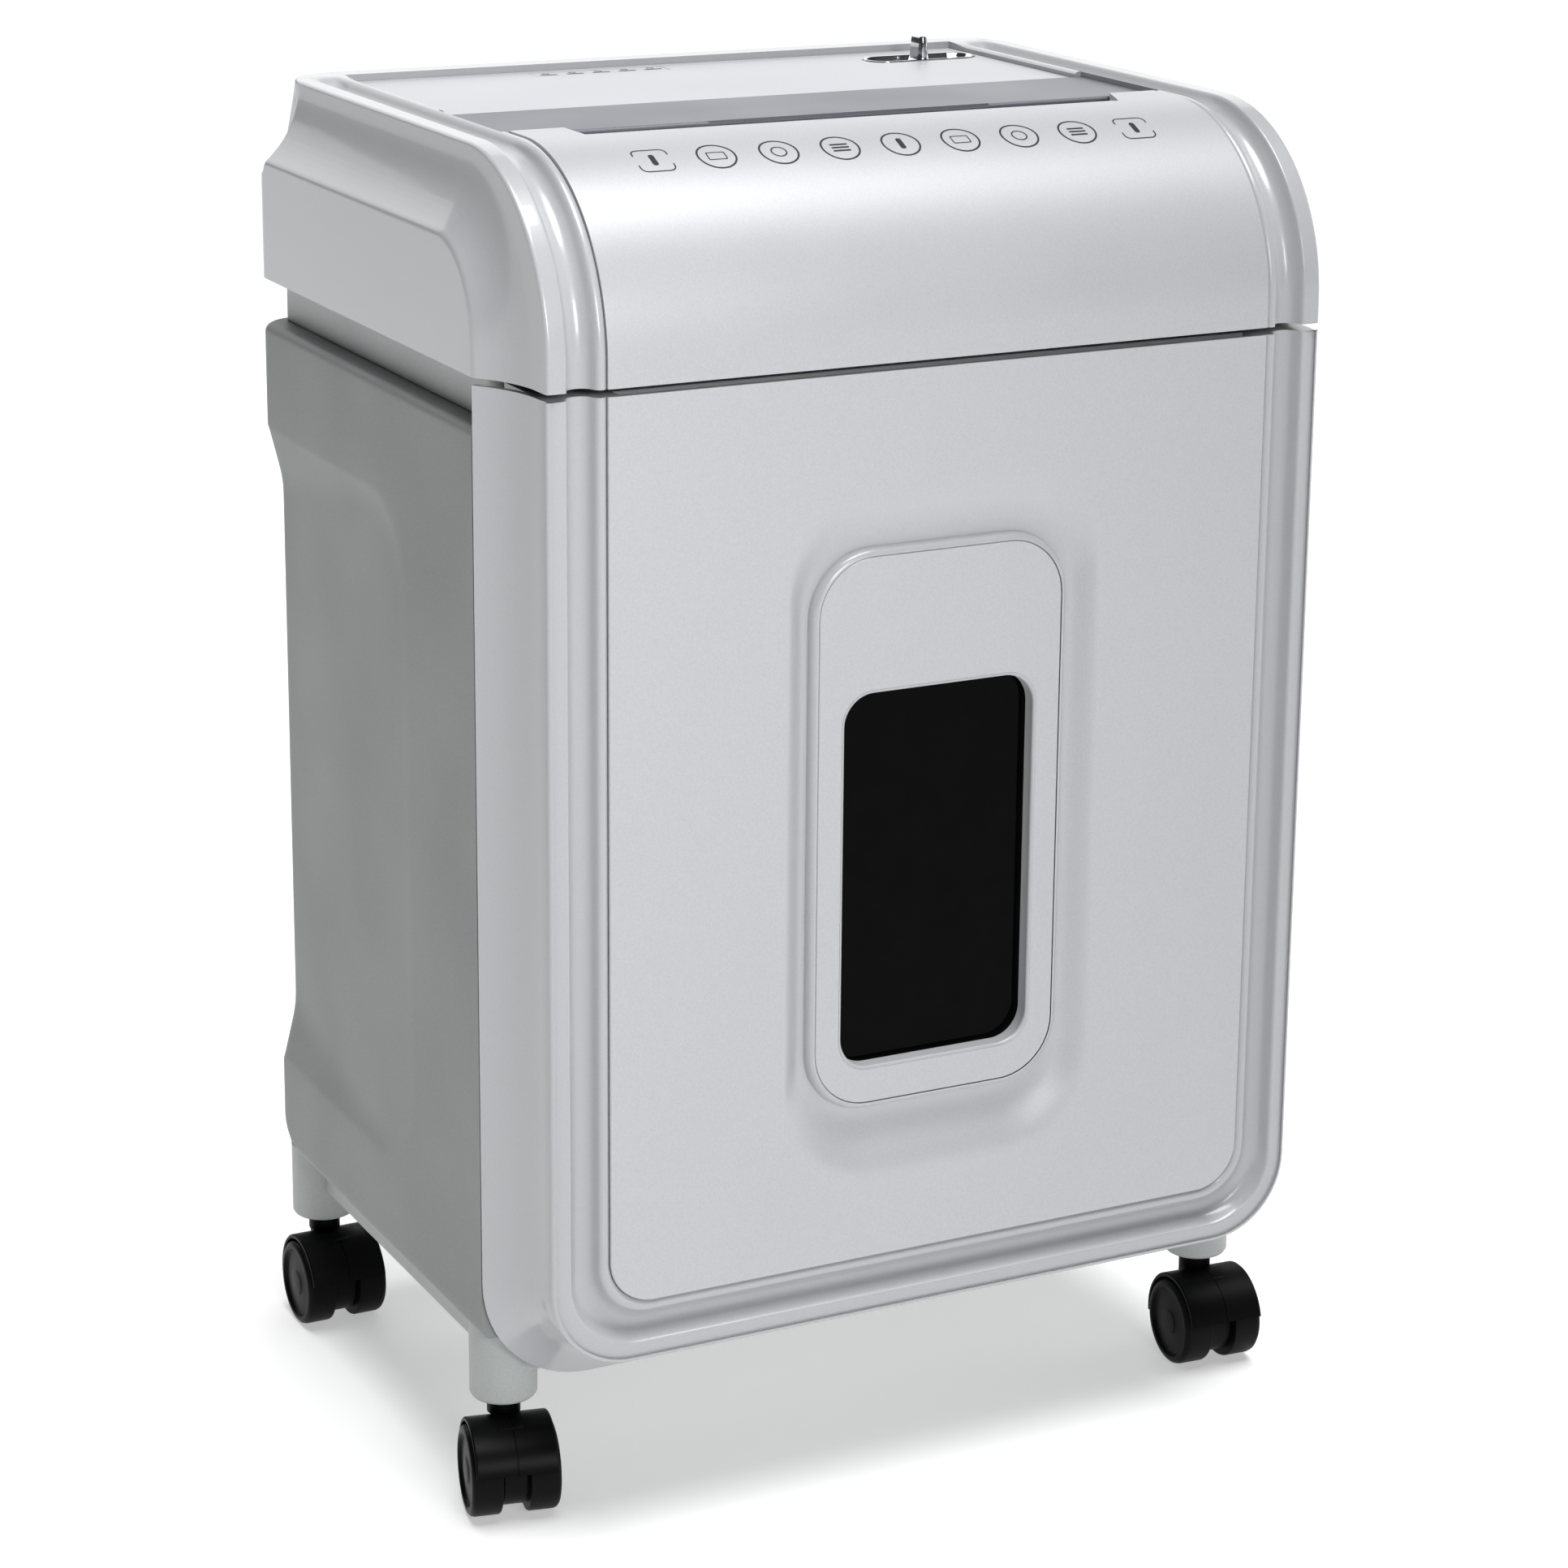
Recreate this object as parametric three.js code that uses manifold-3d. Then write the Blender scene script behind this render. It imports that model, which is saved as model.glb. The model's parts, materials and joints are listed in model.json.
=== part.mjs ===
// Cross-cut paper shredder with a pull-out bin drawer, on four twin-wheel castors.
// Millimetres. +X is the viewer's right facing the front, the front faces -Y, +Z is up.
// The origin is on the floor, under the middle of the body.
import * as THREE from "three";
import { mergeVertices } from "three/addons/utils/BufferGeometryUtils.js";
import Module from "manifold-3d";

const wasm = await Module();
wasm.setup();

// ---- Driving dimensions ----------------------------------------------------------------
const WIDTH = 365; // over the side faces
const DEPTH = 281.6; // front plane to back plane
const HEIGHT = 557.4; // floor to the top of the rim

const HEAD_HEIGHT = 84; // parting line between head and drawer to the top of the rim
const PARTING_GAP = 3; // gap between the head and the drawer front
const HEAD_ARC = 75; // radius between the top and the front
const RIM_INSET = 12.5; // side face to the outer edge of the glossy rim
const RIM_FLAT = 8; // flat band of the rim
const GROOVE_WIDTH = 12;
const GROOVE_DEPTH = 6.5;
const BEAD_WIDTH = 4.6; // raised bead between groove and panel
const COVE_RADIUS = 53; // hollow sweep from side face to rim
const COVE_START = 7; // straight edge of the rim on the front, before the sweep
const REAR_RIM = 14; // rim along the back of the top
const REAR_CORNER = 14; // rounded upright rear edges

const SHELL_WALL = 3; // plastic casings
const PLATE_WALL = 2.5; // thin moulded panels
const PANEL_GAP = 0.3; // between neighbouring panels
const LEDGE = 6; // inner ledge that a panel rests on
const SIDE_BAY = 59.5; // side face to the end of the paper slot: bearings and gears

const SLOT_WIDTH = 6; // paper slot, front to back
const TRIM_DEPTH = 64; // throat trim, front to back
const TRIM_OVERHANG = 25; // trim reaches past the slot at each end
const DISC_SLOT = 125.7; // stepped lip for discs and cards
const DISC_SLOT_SHIFT = 7; // its middle, to the right of the slot's middle
const THROAT_RAMP = 22; // sloping lip in front of the slot
const THROAT_DROP = 3.4; // how far the lip slopes down
const GUIDE_RISE = 12.1; // lower edge of the throat's walls above the cutters

const NECK_INSET = 10.5; // head tray, in from the side faces
const NECK_HEIGHT = 19.5; // visible neck under the head
const TRAY_DROP = 30; // tray pan below the top of the cabinet
const NECK_SETBACK = 2; // seam to the front of the neck

const CUTTER_TEETH = 20;
const CUTTER_MODULE = 2;
const CUTTER_CENTRES = CUTTER_TEETH * CUTTER_MODULE; // between the two cutter shafts
const CUTTER_RADIUS = CUTTER_CENTRES / 2 + 2; // the discs pass each other
const SPACER_RADIUS = CUTTER_CENTRES - CUTTER_RADIUS - 2.5;
const CHUTE_DEPTH = CUTTER_CENTRES + CUTTER_RADIUS; // opening under the cutters, front to back
const DISC_COUNT = 12; // discs on each shaft
const DISC_THICKNESS = 5;
const JOURNAL_RADIUS = 6;
const SHAFT_RISE = 13.5; // shaft axes above the parting line
const END_PLATE = 2.5;
const BUSH_WALL = 3;
const BUSH_LENGTH = 8;
const RUN_CLEARANCE = 0.08; // radial, for shafts and pins that turn
const PRESS_GAP = 0.02; // radial, for parts pressed on a shaft
const TIE_RADIUS = 5;

const DRIVE_TEETH = 40;
const IDLER_SMALL_TEETH = 12;
const DRIVE_MODULE = 1.5;
const IDLER_LARGE_TEETH = 44;
const PINION_TEETH = 11;
const PINION_MODULE = 1.25;
const GEAR_WIDTH = 7;
const GEAR_STEP = 2; // between one row of gears and the next
const MOTOR_RADIUS = 28;
const MOTOR_LENGTH = 86;
const MOTOR_SHAFT = 4; // radius
const FAN = { hub: 8, reach: 22, width: 8, gap: 3, blades: 6 };
const BOARD = { width: 90, depth: 66, thickness: 1.6, beside: 24, behind: 44 };
const COVER_WALL = 2;
const COVER_GAP = 1.4; // gear cover to the front of the neck
const COVER_ROOM = 4; // gear cover to the pitch circle of a cutter gear

const CABINET_BOTTOM = 80;
const CABINET_WALL = 4;
const SEAM_SETBACK = 42.6; // front plane to the seam between drawer and cabinet
const SCOOP_DEPTH = 7.5; // finger scoop at the rear of each side
const SCOOP_TOP = 44; // below the top of the cabinet
const SCOOP_BOTTOM = 40; // above the bottom of the cabinet
const SCOOP_FADE = 30; // height over which it fades out
const SCOOP_REACH = 170; // forward of the back plane

const DOOR_BOTTOM = 79.3; // bottom of the drawer front's rim
const DOOR_SKIRT = 21; // the hollow sweep below the rim
const DOOR_CORNER = 34; // bottom corners of the rim
const POCKET = { half: 71, top: 43.7, bottom: 58.2, corner: 40, depth: 7 };
const RING = { half: 57.5, top: 26.7, bottom: 29.5, corner: 27, rise: 4 };
const WINDOW = { half: 42.5, top: 58.6, bottom: 18.7, corner: 13 };
const LENS_WALL = 2;
const LENS_SEAT = 5; // lens edge beyond the opening

const BIN_WALL = 2.5;
const BIN_CLEARANCE = 9; // bin to cabinet walls and floor
const BIN_HEADROOM = 20; // bin rim to the bottom of the head tray
const RAIL_SIZE = 8;

const TRAY_BOTTOM = 60; // underside of the base tray
const TRAY_INSET = 13;
const LEG_RADIUS = 13.9;
const LEG_INSET = 16.4; // leg axis, in from the side faces
const FRONT_LEG_SETBACK = 60.3; // leg axis, behind the front plane
const REAR_LEG_SETBACK = 14.5; // leg axis, ahead of the back plane

const WHEEL_RADIUS = 19;
const WHEEL_WIDTH = 13;
const CASTOR_GAP = 1; // wheel face to hood web
const CASTOR_NECK = 8.5; // top of the wheels to the bottom of the leg
const LEG_BOTTOM = 2 * WHEEL_RADIUS + CASTOR_NECK;
const HOOD_WEB = 9;
const CASTOR_TRAIL = 11; // swivel axis to wheel axis
const STEM_RADIUS = 5.5;
const NECK_RADIUS = 7;
const AXLE_RADIUS = 3;
const PIN_RADIUS = 3; // swivel pin below the stem
const CASTOR_YAW = { fl: -12, fr: -4, rl: 0, rr: 12 }; // degrees, as they stand

const SWITCH_X = 116; // middle of the slide switch
const SWITCH_SETBACK = 39.5; // ahead of the back plane
const DISH = { length: 54, width: 19, depth: 3.2 };
const KNOB = { length: 9, width: 11, height: 13 };
const SWITCH_TRAVEL = 12;
const INDICATOR = { x0: -64, x1: -2, width: 12, setback: 26 };

// ---- Places worked out from them -------------------------------------------------------
const halfW = WIDTH / 2;
const front = -DEPTH / 2;
const back = DEPTH / 2;
const parting = HEIGHT - HEAD_HEIGHT;
const rimX = halfW - RIM_INSET;
const grooveX = rimX - RIM_FLAT;
const beadX = grooveX - GROOVE_WIDTH;
const panelX = beadX - BEAD_WIDTH;
const seam = front + SEAM_SETBACK;
const cabinetTop = parting - NECK_HEIGHT;
const slotHalf = halfW - SIDE_BAY;
const neckFront = seam + NECK_SETBACK;
const coverFront = neckFront + SHELL_WALL + COVER_GAP + COVER_WALL; // inside of the gear cover
const frontShaftY = coverFront + COVER_ROOM + CUTTER_CENTRES / 2;
const rearShaftY = frontShaftY + CUTTER_CENTRES;
const slotY = (frontShaftY + rearShaftY) / 2;
const trimHalf = slotHalf + TRIM_OVERHANG;
const trimTop = HEIGHT - 2.4;
const trimBack = slotY - SLOT_WIDTH / 2 + TRIM_DEPTH;
const deckZ = HEIGHT - 3;
const shaftZ = parting + SHAFT_RISE;
const plateX = slotHalf - 2; // inner face of each end plate
const trayFloor = cabinetTop - TRAY_DROP;
const doorTop = parting - PARTING_GAP;

const ROUND = 14; // sides of a round piece
const WHEEL_SIDES = 20;

// ---- Geometry helpers ------------------------------------------------------------------
function solid(geometry) {
  const bare = geometry.clone();
  for (const name of Object.keys(bare.attributes)) {
    if (name !== "position") bare.deleteAttribute(name);
  }
  const merged = mergeVertices(bare, 1e-4);
  const vertProperties = new Float32Array(merged.attributes.position.array);
  const triVerts = new Uint32Array(merged.index.array);
  const made = new wasm.Manifold(new wasm.Mesh({ numProp: 3, vertProperties, triVerts }));
  if (made.volume() > 0) return made;
  for (let i = 0; i < triVerts.length; i += 3) {
    [triVerts[i + 1], triVerts[i + 2]] = [triVerts[i + 2], triVerts[i + 1]];
  }
  return new wasm.Manifold(new wasm.Mesh({ numProp: 3, vertProperties, triVerts }));
}

// A closed solid through rings of points, each ring with the same number of points.
function loft(rings) {
  const count = rings[0].length;
  const positions = rings.flat().flat();
  const index = [];
  for (let r = 0; r + 1 < rings.length; r++) {
    for (let i = 0; i < count; i++) {
      const a = r * count + i;
      const b = r * count + ((i + 1) % count);
      index.push(a, b, b + count, a, b + count, a + count);
    }
  }
  const last = (rings.length - 1) * count;
  for (let i = 1; i + 1 < count; i++) {
    index.push(0, i + 1, i);
    index.push(last, last + i, last + i + 1);
  }
  const geometry = new THREE.BufferGeometry();
  geometry.setAttribute("position", new THREE.Float32BufferAttribute(positions, 3));
  geometry.setIndex(index);
  return solid(geometry);
}

// Extrudes an outline along an axis: points are (y, z) along x, (x, z) along y, (x, y) along z.
function extrude(points, axis, from, to) {
  const shape = new THREE.Shape(points.map(([u, v]) => new THREE.Vector2(u, v)));
  const geometry = new THREE.ExtrudeGeometry(shape, { depth: to - from, bevelEnabled: false });
  const place = new THREE.Matrix4();
  if (axis === "x") place.set(0, 0, 1, from, 1, 0, 0, 0, 0, 1, 0, 0, 0, 0, 0, 1);
  if (axis === "y") place.set(1, 0, 0, 0, 0, 0, -1, to, 0, 1, 0, 0, 0, 0, 0, 1);
  if (axis === "z") place.makeTranslation(0, 0, from);
  return solid(geometry.applyMatrix4(place));
}

function box(x0, x1, y0, y1, z0, z1) {
  const geometry = new THREE.BoxGeometry(x1 - x0, y1 - y0, z1 - z0);
  return solid(geometry.translate((x0 + x1) / 2, (y0 + y1) / 2, (z0 + z1) / 2));
}

function arc(u, v, ru, rv, fromDegrees, toDegrees, steps) {
  const points = [];
  for (let i = 0; i <= steps; i++) {
    const angle = THREE.MathUtils.degToRad(fromDegrees + ((toDegrees - fromDegrees) * i) / steps);
    points.push([u + ru * Math.cos(angle), v + rv * Math.sin(angle)]);
  }
  return points;
}

function roundRect(u0, v0, u1, v1, radius, steps = 5) {
  return [
    ...arc(u1 - radius, v0 + radius, radius, radius, -90, 0, steps),
    ...arc(u1 - radius, v1 - radius, radius, radius, 0, 90, steps),
    ...arc(u0 + radius, v1 - radius, radius, radius, 90, 180, steps),
    ...arc(u0 + radius, v0 + radius, radius, radius, 180, 270, steps),
  ];
}

function circle(u, v, radius, sides = ROUND) {
  return arc(u, v, radius, radius, 0, 360, sides).slice(0, sides);
}

function cylinder(axis, u, v, radius, from, to, sides = ROUND) {
  return extrude(circle(u, v, radius, sides), axis, from, to);
}

// A faceted hole whose flats clear a round of the given radius.
function bore(axis, u, v, radius, clearance, from, to, sides = ROUND) {
  const open = (radius + clearance) / Math.cos(Math.PI / sides);
  return cylinder(axis, u, v, open, from, to, sides);
}

function join(...parts) {
  return parts.reduce((sum, part) => sum.add(part));
}

function cut(body, ...tools) {
  return tools.reduce((rest, tool) => rest.subtract(tool), body);
}

// A gear blank with straight-flanked teeth, its first tooth turned to the given angle.
function gear(teeth, module, u, v, x0, x1, turn) {
  const pitch = (teeth * module) / 2;
  const tip = pitch + 0.85 * module;
  const root = pitch - 1.15 * module;
  const step = 360 / teeth;
  const points = [];
  for (let t = 0; t < teeth; t++) {
    const middle = turn + t * step;
    const corners = [
      [root, -0.29],
      [tip, -0.11],
      [tip, 0.11],
      [root, 0.29],
    ];
    for (const [radius, share] of corners) {
      const angle = THREE.MathUtils.degToRad(middle + share * step);
      points.push([u + radius * Math.cos(angle), v + radius * Math.sin(angle)]);
    }
  }
  return extrude(points, "x", x0, x1);
}

// ---- The assembly ----------------------------------------------------------------------
const FINISHES = {
  pearl: { color: 0xe9eaec, roughness: 0.22, metalness: 0 },
  satinPearl: { color: 0xdfe0e3, roughness: 0.45, metalness: 0.15 },
  silverGrey: { color: 0xb4b8bb, roughness: 0.5, metalness: 0.1 },
  trimGrey: { color: 0x8f9298, roughness: 0.45, metalness: 0.3 },
  chrome: { color: 0xc8cacc, roughness: 0.1, metalness: 1 },
  black: { color: 0x1c1c1e, roughness: 0.55, metalness: 0 },
  smoke: { color: 0x2a2c2e, roughness: 0.05, metalness: 0 },
  steel: { color: 0x9a9ca0, roughness: 0.35, metalness: 1 },
  bronze: { color: 0x8a6a3c, roughness: 0.4, metalness: 1 },
  nylon: { color: 0xe6e2d6, roughness: 0.5, metalness: 0 },
  board: { color: 0x2d6b3c, roughness: 0.5, metalness: 0 },
};
const shredder = new THREE.Group();

function add(name, body, finish, parent = shredder) {
  const mesh = body.getMesh();
  const geometry = new THREE.BufferGeometry();
  geometry.setAttribute("position", new THREE.Float32BufferAttribute(mesh.vertProperties, 3));
  geometry.setIndex(new THREE.Uint32BufferAttribute(mesh.triVerts, 1));
  const node = new THREE.Mesh(geometry, new THREE.MeshStandardMaterial(FINISHES[finish]));
  node.name = name;
  parent.add(node);
}

// ---- Head casing -----------------------------------------------------------------------
// How far the head's outline draws in, at a distance out from the rim's edge.
function coveInset(out) {
  return Math.sqrt(COVE_RADIUS ** 2 - (COVE_RADIUS - out) ** 2);
}
const sideInset = coveInset(RIM_INSET);
const rimCorner = rimX - panelX; // rounded rear corners of the rim

// The head's outline at x; wall moves the start of the corner's slope down for the inside.
function headRing(x, top, lead, rear, topRear, bottom = parting, wall = 0) {
  const points = [
    [back - rear, bottom],
    [back - rear, HEIGHT - sideInset - wall - 6],
    [back - topRear, HEIGHT - top],
    ...arc(front + HEAD_ARC, HEIGHT - HEAD_ARC, HEAD_ARC - lead, HEAD_ARC - top, 90, 180, 9),
    [front + lead, bottom],
  ];
  return points.map(([y, z]) => [x, y, z]);
}

// How far an upright rear corner of a given radius draws in at x, under a side face at sideX.
function rearRound(x, sideX, radius) {
  const into = THREE.MathUtils.clamp(x - (sideX - radius), 0, radius);
  return radius - Math.sqrt(radius ** 2 - into ** 2);
}

// How far the top's rear edge draws in at x: the rim's corner, fading out down the cove.
function rimRear(x) {
  if (x < rimX) return rearRound(x, rimX, rimCorner);
  return THREE.MathUtils.lerp(rimCorner, REAR_CORNER, (x - rimX) / RIM_INSET);
}

function headLoft(grooved) {
  const stations = [];
  for (const out of [RIM_INSET, 10.3, 8, 5.2, 2.9, 1.3, 0.3]) {
    const inset = coveInset(out);
    stations.push([rimX + out, inset, inset + COVE_START]);
  }
  stations.push([rimX, 0.8, 0.8], [rimX - 0.8, 0, 0]);
  stations.push([rimX - 0.4 * RIM_FLAT, 0, 0], [grooveX + 0.8, 0, 0]);
  const grooveLine = [
    [grooveX, 1],
    [grooveX - 1.6, GROOVE_DEPTH - 1],
    [grooveX - 4, GROOVE_DEPTH],
    [beadX + 2.5, GROOVE_DEPTH],
    [beadX + 0.8, GROOVE_DEPTH - 1.5],
    [beadX - 0.6, 1.2],
    [beadX - 2.2, 0.3],
    [panelX, 1.2],
  ];
  for (const [x, depth] of grooveLine) {
    const sunk = grooved ? depth : 0;
    stations.push([x, sunk, sunk]);
  }
  const right = stations.map(([x, top, lead]) =>
    headRing(x, top, lead, rearRound(x, halfW, REAR_CORNER), rimRear(x)),
  );
  const left = right.map((ring) => ring.map(([x, y, z]) => [-x, y, z])).reverse();
  return loft([...right, ...left]);
}

function headCavity() {
  const wall = SHELL_WALL;
  const deep = GROOVE_DEPTH + wall;
  const sideX = halfW - wall;
  const drop = sideInset + wall;
  const stations = [
    [sideX, drop, drop + COVE_START],
    [sideX - 3, drop - 3, drop + COVE_START - 3],
    [rimX + 3, coveInset(8) + wall, coveInset(8) + COVE_START + wall],
    [rimX - 1, deep, deep],
    [grooveX - 4, deep, deep],
    [panelX, deep, deep],
  ];
  const corner = REAR_CORNER - wall;
  const right = stations.map(([x, top, lead]) =>
    headRing(
      x,
      top,
      lead,
      wall + rearRound(x, sideX, corner),
      wall + rimRear(x > rimX ? x + wall : x),
      parting - 1,
      wall,
    ),
  );
  const left = right.map((ring) => ring.map(([x, y, z]) => [-x, y, z])).reverse();
  return loft([...right, ...left]);
}

const headOuter = headLoft(true);
const rearRim = headLoft(false).intersect(
  box(-halfW, halfW, back - REAR_RIM, back, HEIGHT - 12, HEIGHT + 1),
);

// The opening that the panels fill, and the ledge that they rest on.
const trimFront = slotY - SLOT_WIDTH / 2;
const trimUnder = trimTop - PLATE_WALL;
const innerArc = HEAD_ARC - SHELL_WALL;
const rebate = extrude(
  [
    [back - REAR_RIM, HEIGHT + 2],
    [front - 2, HEIGHT + 2],
    [front - 2, parting - 1],
    [front + SHELL_WALL, parting - 1],
    ...arc(front + HEAD_ARC, HEIGHT - HEAD_ARC, innerArc, innerArc, 180, 90, 12),
    [trimFront - PANEL_GAP, HEIGHT - SHELL_WALL],
    [trimFront - PANEL_GAP, trimUnder],
    [trimBack + PANEL_GAP, trimUnder],
    [trimBack + PANEL_GAP, deckZ - SHELL_WALL],
    [back - REAR_RIM, deckZ - SHELL_WALL],
  ],
  "x",
  -panelX,
  panelX,
);
const throughX = panelX - LEDGE;
const headOpening = box(
  -throughX,
  throughX,
  front - 1,
  back - REAR_RIM - LEDGE,
  parting - 1,
  HEIGHT + 1,
);
const inletZ = parting + 26;
const inletX = -halfW + 60;
const headCover = cut(
  join(cut(headOuter, headCavity()), rearRim),
  rebate,
  headOpening,
  box(
    -trimHalf - PANEL_GAP,
    trimHalf + PANEL_GAP,
    trimFront - PANEL_GAP,
    trimBack + PANEL_GAP,
    trimUnder,
    HEIGHT + 1,
  ),
  box(
    SWITCH_X - DISH.length / 2 - 1,
    SWITCH_X + DISH.length / 2 + 1,
    back - SWITCH_SETBACK - DISH.width / 2 - 1,
    back - SWITCH_SETBACK + DISH.width / 2 + 1,
    deckZ - 30,
    HEIGHT,
  ),
  cylinder("y", inletX, inletZ, 6, back - 20, back + 1),
);
add("head_cover", headCover, "pearl");

// The satin panel that runs from the parting line up over the arc to the throat.
const panelSide = panelX - PANEL_GAP;
const rampBack = trimFront - PANEL_GAP;
const rampFront = rampBack - THROAT_RAMP;
const guideBottom = shaftZ + CUTTER_RADIUS + GUIDE_RISE;
const panelProfile = [
  [trimBack, HEIGHT],
  ...arc(front + HEAD_ARC, HEIGHT - HEAD_ARC, HEAD_ARC, HEAD_ARC, 90, 180, 12),
  [front, parting],
  [front + SHELL_WALL, parting],
  ...arc(front + HEAD_ARC, HEIGHT - HEAD_ARC, innerArc, innerArc, 180, 90, 12),
  [trimBack, HEIGHT - SHELL_WALL],
];
const panelArea = box(-panelSide, panelSide, front - 1, rampBack, parting, HEIGHT + 1);
const rampNotch = loft([
  [
    [-slotHalf - 1, rampFront, HEIGHT + 0.5],
    [slotHalf - 4, rampFront, HEIGHT + 0.5],
    [slotHalf + 1, rampBack + 1, HEIGHT + 0.5],
    [-slotHalf + 1, rampBack + 1, HEIGHT + 0.5],
  ],
  [
    [-slotHalf - 1, rampFront, HEIGHT - 0.2],
    [slotHalf - 4, rampFront, HEIGHT - 0.2],
    [slotHalf + 1, rampBack + 1, HEIGHT - THROAT_DROP],
    [-slotHalf + 1, rampBack + 1, HEIGHT - THROAT_DROP],
  ],
]);
const rampWall = loft([
  [
    [-slotHalf - 3, rampFront - 2, HEIGHT - 1],
    [slotHalf - 2, rampFront - 2, HEIGHT - 1],
    [slotHalf + 3, rampBack, HEIGHT - 1],
    [-slotHalf - 1, rampBack, HEIGHT - 1],
  ],
  [
    [-slotHalf - 3, rampFront - 2, HEIGHT - SHELL_WALL - 0.5],
    [slotHalf - 2, rampFront - 2, HEIGHT - SHELL_WALL - 0.5],
    [slotHalf + 3, rampBack, HEIGHT - THROAT_DROP - SHELL_WALL],
    [-slotHalf - 1, rampBack, HEIGHT - THROAT_DROP - SHELL_WALL],
  ],
]);
const frontPanel = cut(
  join(
    extrude(panelProfile, "x", -panelSide, panelSide).intersect(panelArea),
    rampWall,
    box(
      -slotHalf,
      slotHalf,
      rampBack - PLATE_WALL,
      rampBack,
      guideBottom,
      HEIGHT - THROAT_DROP - 1,
    ),
  ),
  rampNotch,
);
add("head_front_panel", frontPanel, "satinPearl");

// The throat trim: a flat plate with the paper slot's rear wall and the stepped disc lip.
const slotBack = trimFront + SLOT_WIDTH;
const armX = slotHalf + 4;
const trimOuter = join(
  box(-trimHalf, trimHalf, slotBack, trimBack, trimUnder, trimTop),
  box(armX, trimHalf, trimFront, trimBack, trimUnder, trimTop),
  box(-trimHalf, -armX, trimFront, trimBack, trimUnder, trimTop),
  box(-armX, armX, slotBack, slotBack + PLATE_WALL, guideBottom, trimTop),
);
const discX0 = DISC_SLOT_SHIFT - DISC_SLOT / 2;
const discStep = box(
  discX0,
  discX0 + DISC_SLOT,
  trimFront,
  slotBack + 1.4,
  trimTop - 1.2,
  trimTop + 1,
);
add("throat_trim", cut(trimOuter, discStep), "trimGrey");

// The recessed deck behind the trim, with the slide switch and the indicator window.
const deckBack = back - REAR_RIM - PANEL_GAP;
const switchY = back - SWITCH_SETBACK;
const indicatorY = back - INDICATOR.setback;
const deckHole = extrude(
  roundRect(
    SWITCH_X - DISH.length / 2,
    switchY - DISH.width / 2,
    SWITCH_X + DISH.length / 2,
    switchY + DISH.width / 2,
    DISH.width / 2 - 0.5,
  ),
  "z",
  deckZ - 20,
  deckZ + 1,
);
const indicatorHole = box(
  INDICATOR.x0,
  INDICATOR.x1,
  indicatorY - INDICATOR.width / 2,
  indicatorY + INDICATOR.width / 2,
  deckZ - 20,
  deckZ + 1,
);
const deck = box(
  -panelSide,
  panelSide,
  trimBack + PANEL_GAP,
  deckBack,
  deckZ - SHELL_WALL,
  deckZ,
);
add("top_deck", cut(deck, deckHole, indicatorHole), "satinPearl");

const indicatorStrip = box(
  INDICATOR.x0 + PANEL_GAP,
  INDICATOR.x1 - PANEL_GAP,
  indicatorY - INDICATOR.width / 2 + PANEL_GAP,
  indicatorY + INDICATOR.width / 2 - PANEL_GAP,
  deckZ - 5,
  deckZ,
);
add("indicator_window", indicatorStrip, "pearl");

function dishOutline(inset) {
  return roundRect(
    SWITCH_X - DISH.length / 2 + inset,
    switchY - DISH.width / 2 + inset,
    SWITCH_X + DISH.length / 2 - inset,
    switchY + DISH.width / 2 - inset,
    DISH.width / 2 - 0.5 - inset,
  );
}
const dishBody = extrude(dishOutline(PANEL_GAP), "z", deckZ - DISH.depth - 1.6, deckZ + 0.6);
const dishHollow = extrude(dishOutline(2), "z", deckZ - DISH.depth, deckZ + 1);
const knobSlot = box(
  SWITCH_X - SWITCH_TRAVEL - 2.5,
  SWITCH_X + SWITCH_TRAVEL + 2.5,
  switchY - 2.5,
  switchY + 2.5,
  deckZ - 20,
  deckZ,
);
add("switch_dish", cut(dishBody, dishHollow, knobSlot), "chrome");

const knobBase = deckZ - DISH.depth + PANEL_GAP;
const knobTop = knobBase + KNOB.height;
const knobBody = loft([
  roundRect(-KNOB.length / 2, -KNOB.width / 2, KNOB.length / 2, KNOB.width / 2, 3, 3),
  roundRect(-KNOB.length / 2 + 2, -KNOB.width / 2, 2, KNOB.width / 2, 2, 3),
  roundRect(-1.6, -KNOB.width / 2 + 0.6, 1.6, KNOB.width / 2 - 0.6, 1.4, 3),
].map((ring, i) =>
  ring.map(([x, y]) => [SWITCH_X + x, switchY + y, [knobBase, knobBase + 3, knobTop][i]]),
));
const knobStem = box(
  SWITCH_X - 2,
  SWITCH_X + 2,
  switchY - 2,
  switchY + 2,
  knobBase - 8,
  knobBase + 1,
);
add("switch_knob", join(knobBody, knobStem), "chrome");

add(
  "switch_block",
  cut(
    box(SWITCH_X - 22, SWITCH_X + 22, switchY - 8, switchY + 8, knobBase - 24, knobBase - 2.4),
    box(
      SWITCH_X - SWITCH_TRAVEL - 3,
      SWITCH_X + SWITCH_TRAVEL + 3,
      switchY - 2.4,
      switchY + 2.4,
      knobBase - 8.4,
      knobBase,
    ),
  ),
  "black",
);

const gland = cut(
  join(
    cylinder("y", inletX, inletZ, 5.8, back - SHELL_WALL - 6, back),
    cylinder("y", inletX, inletZ, 8.5, back - SHELL_WALL - 6, back - SHELL_WALL - 0.3),
  ),
  cylinder("y", inletX, inletZ, 3.6, back - 20, back + 1),
);
add("cord_inlet", gland, "black");

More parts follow.
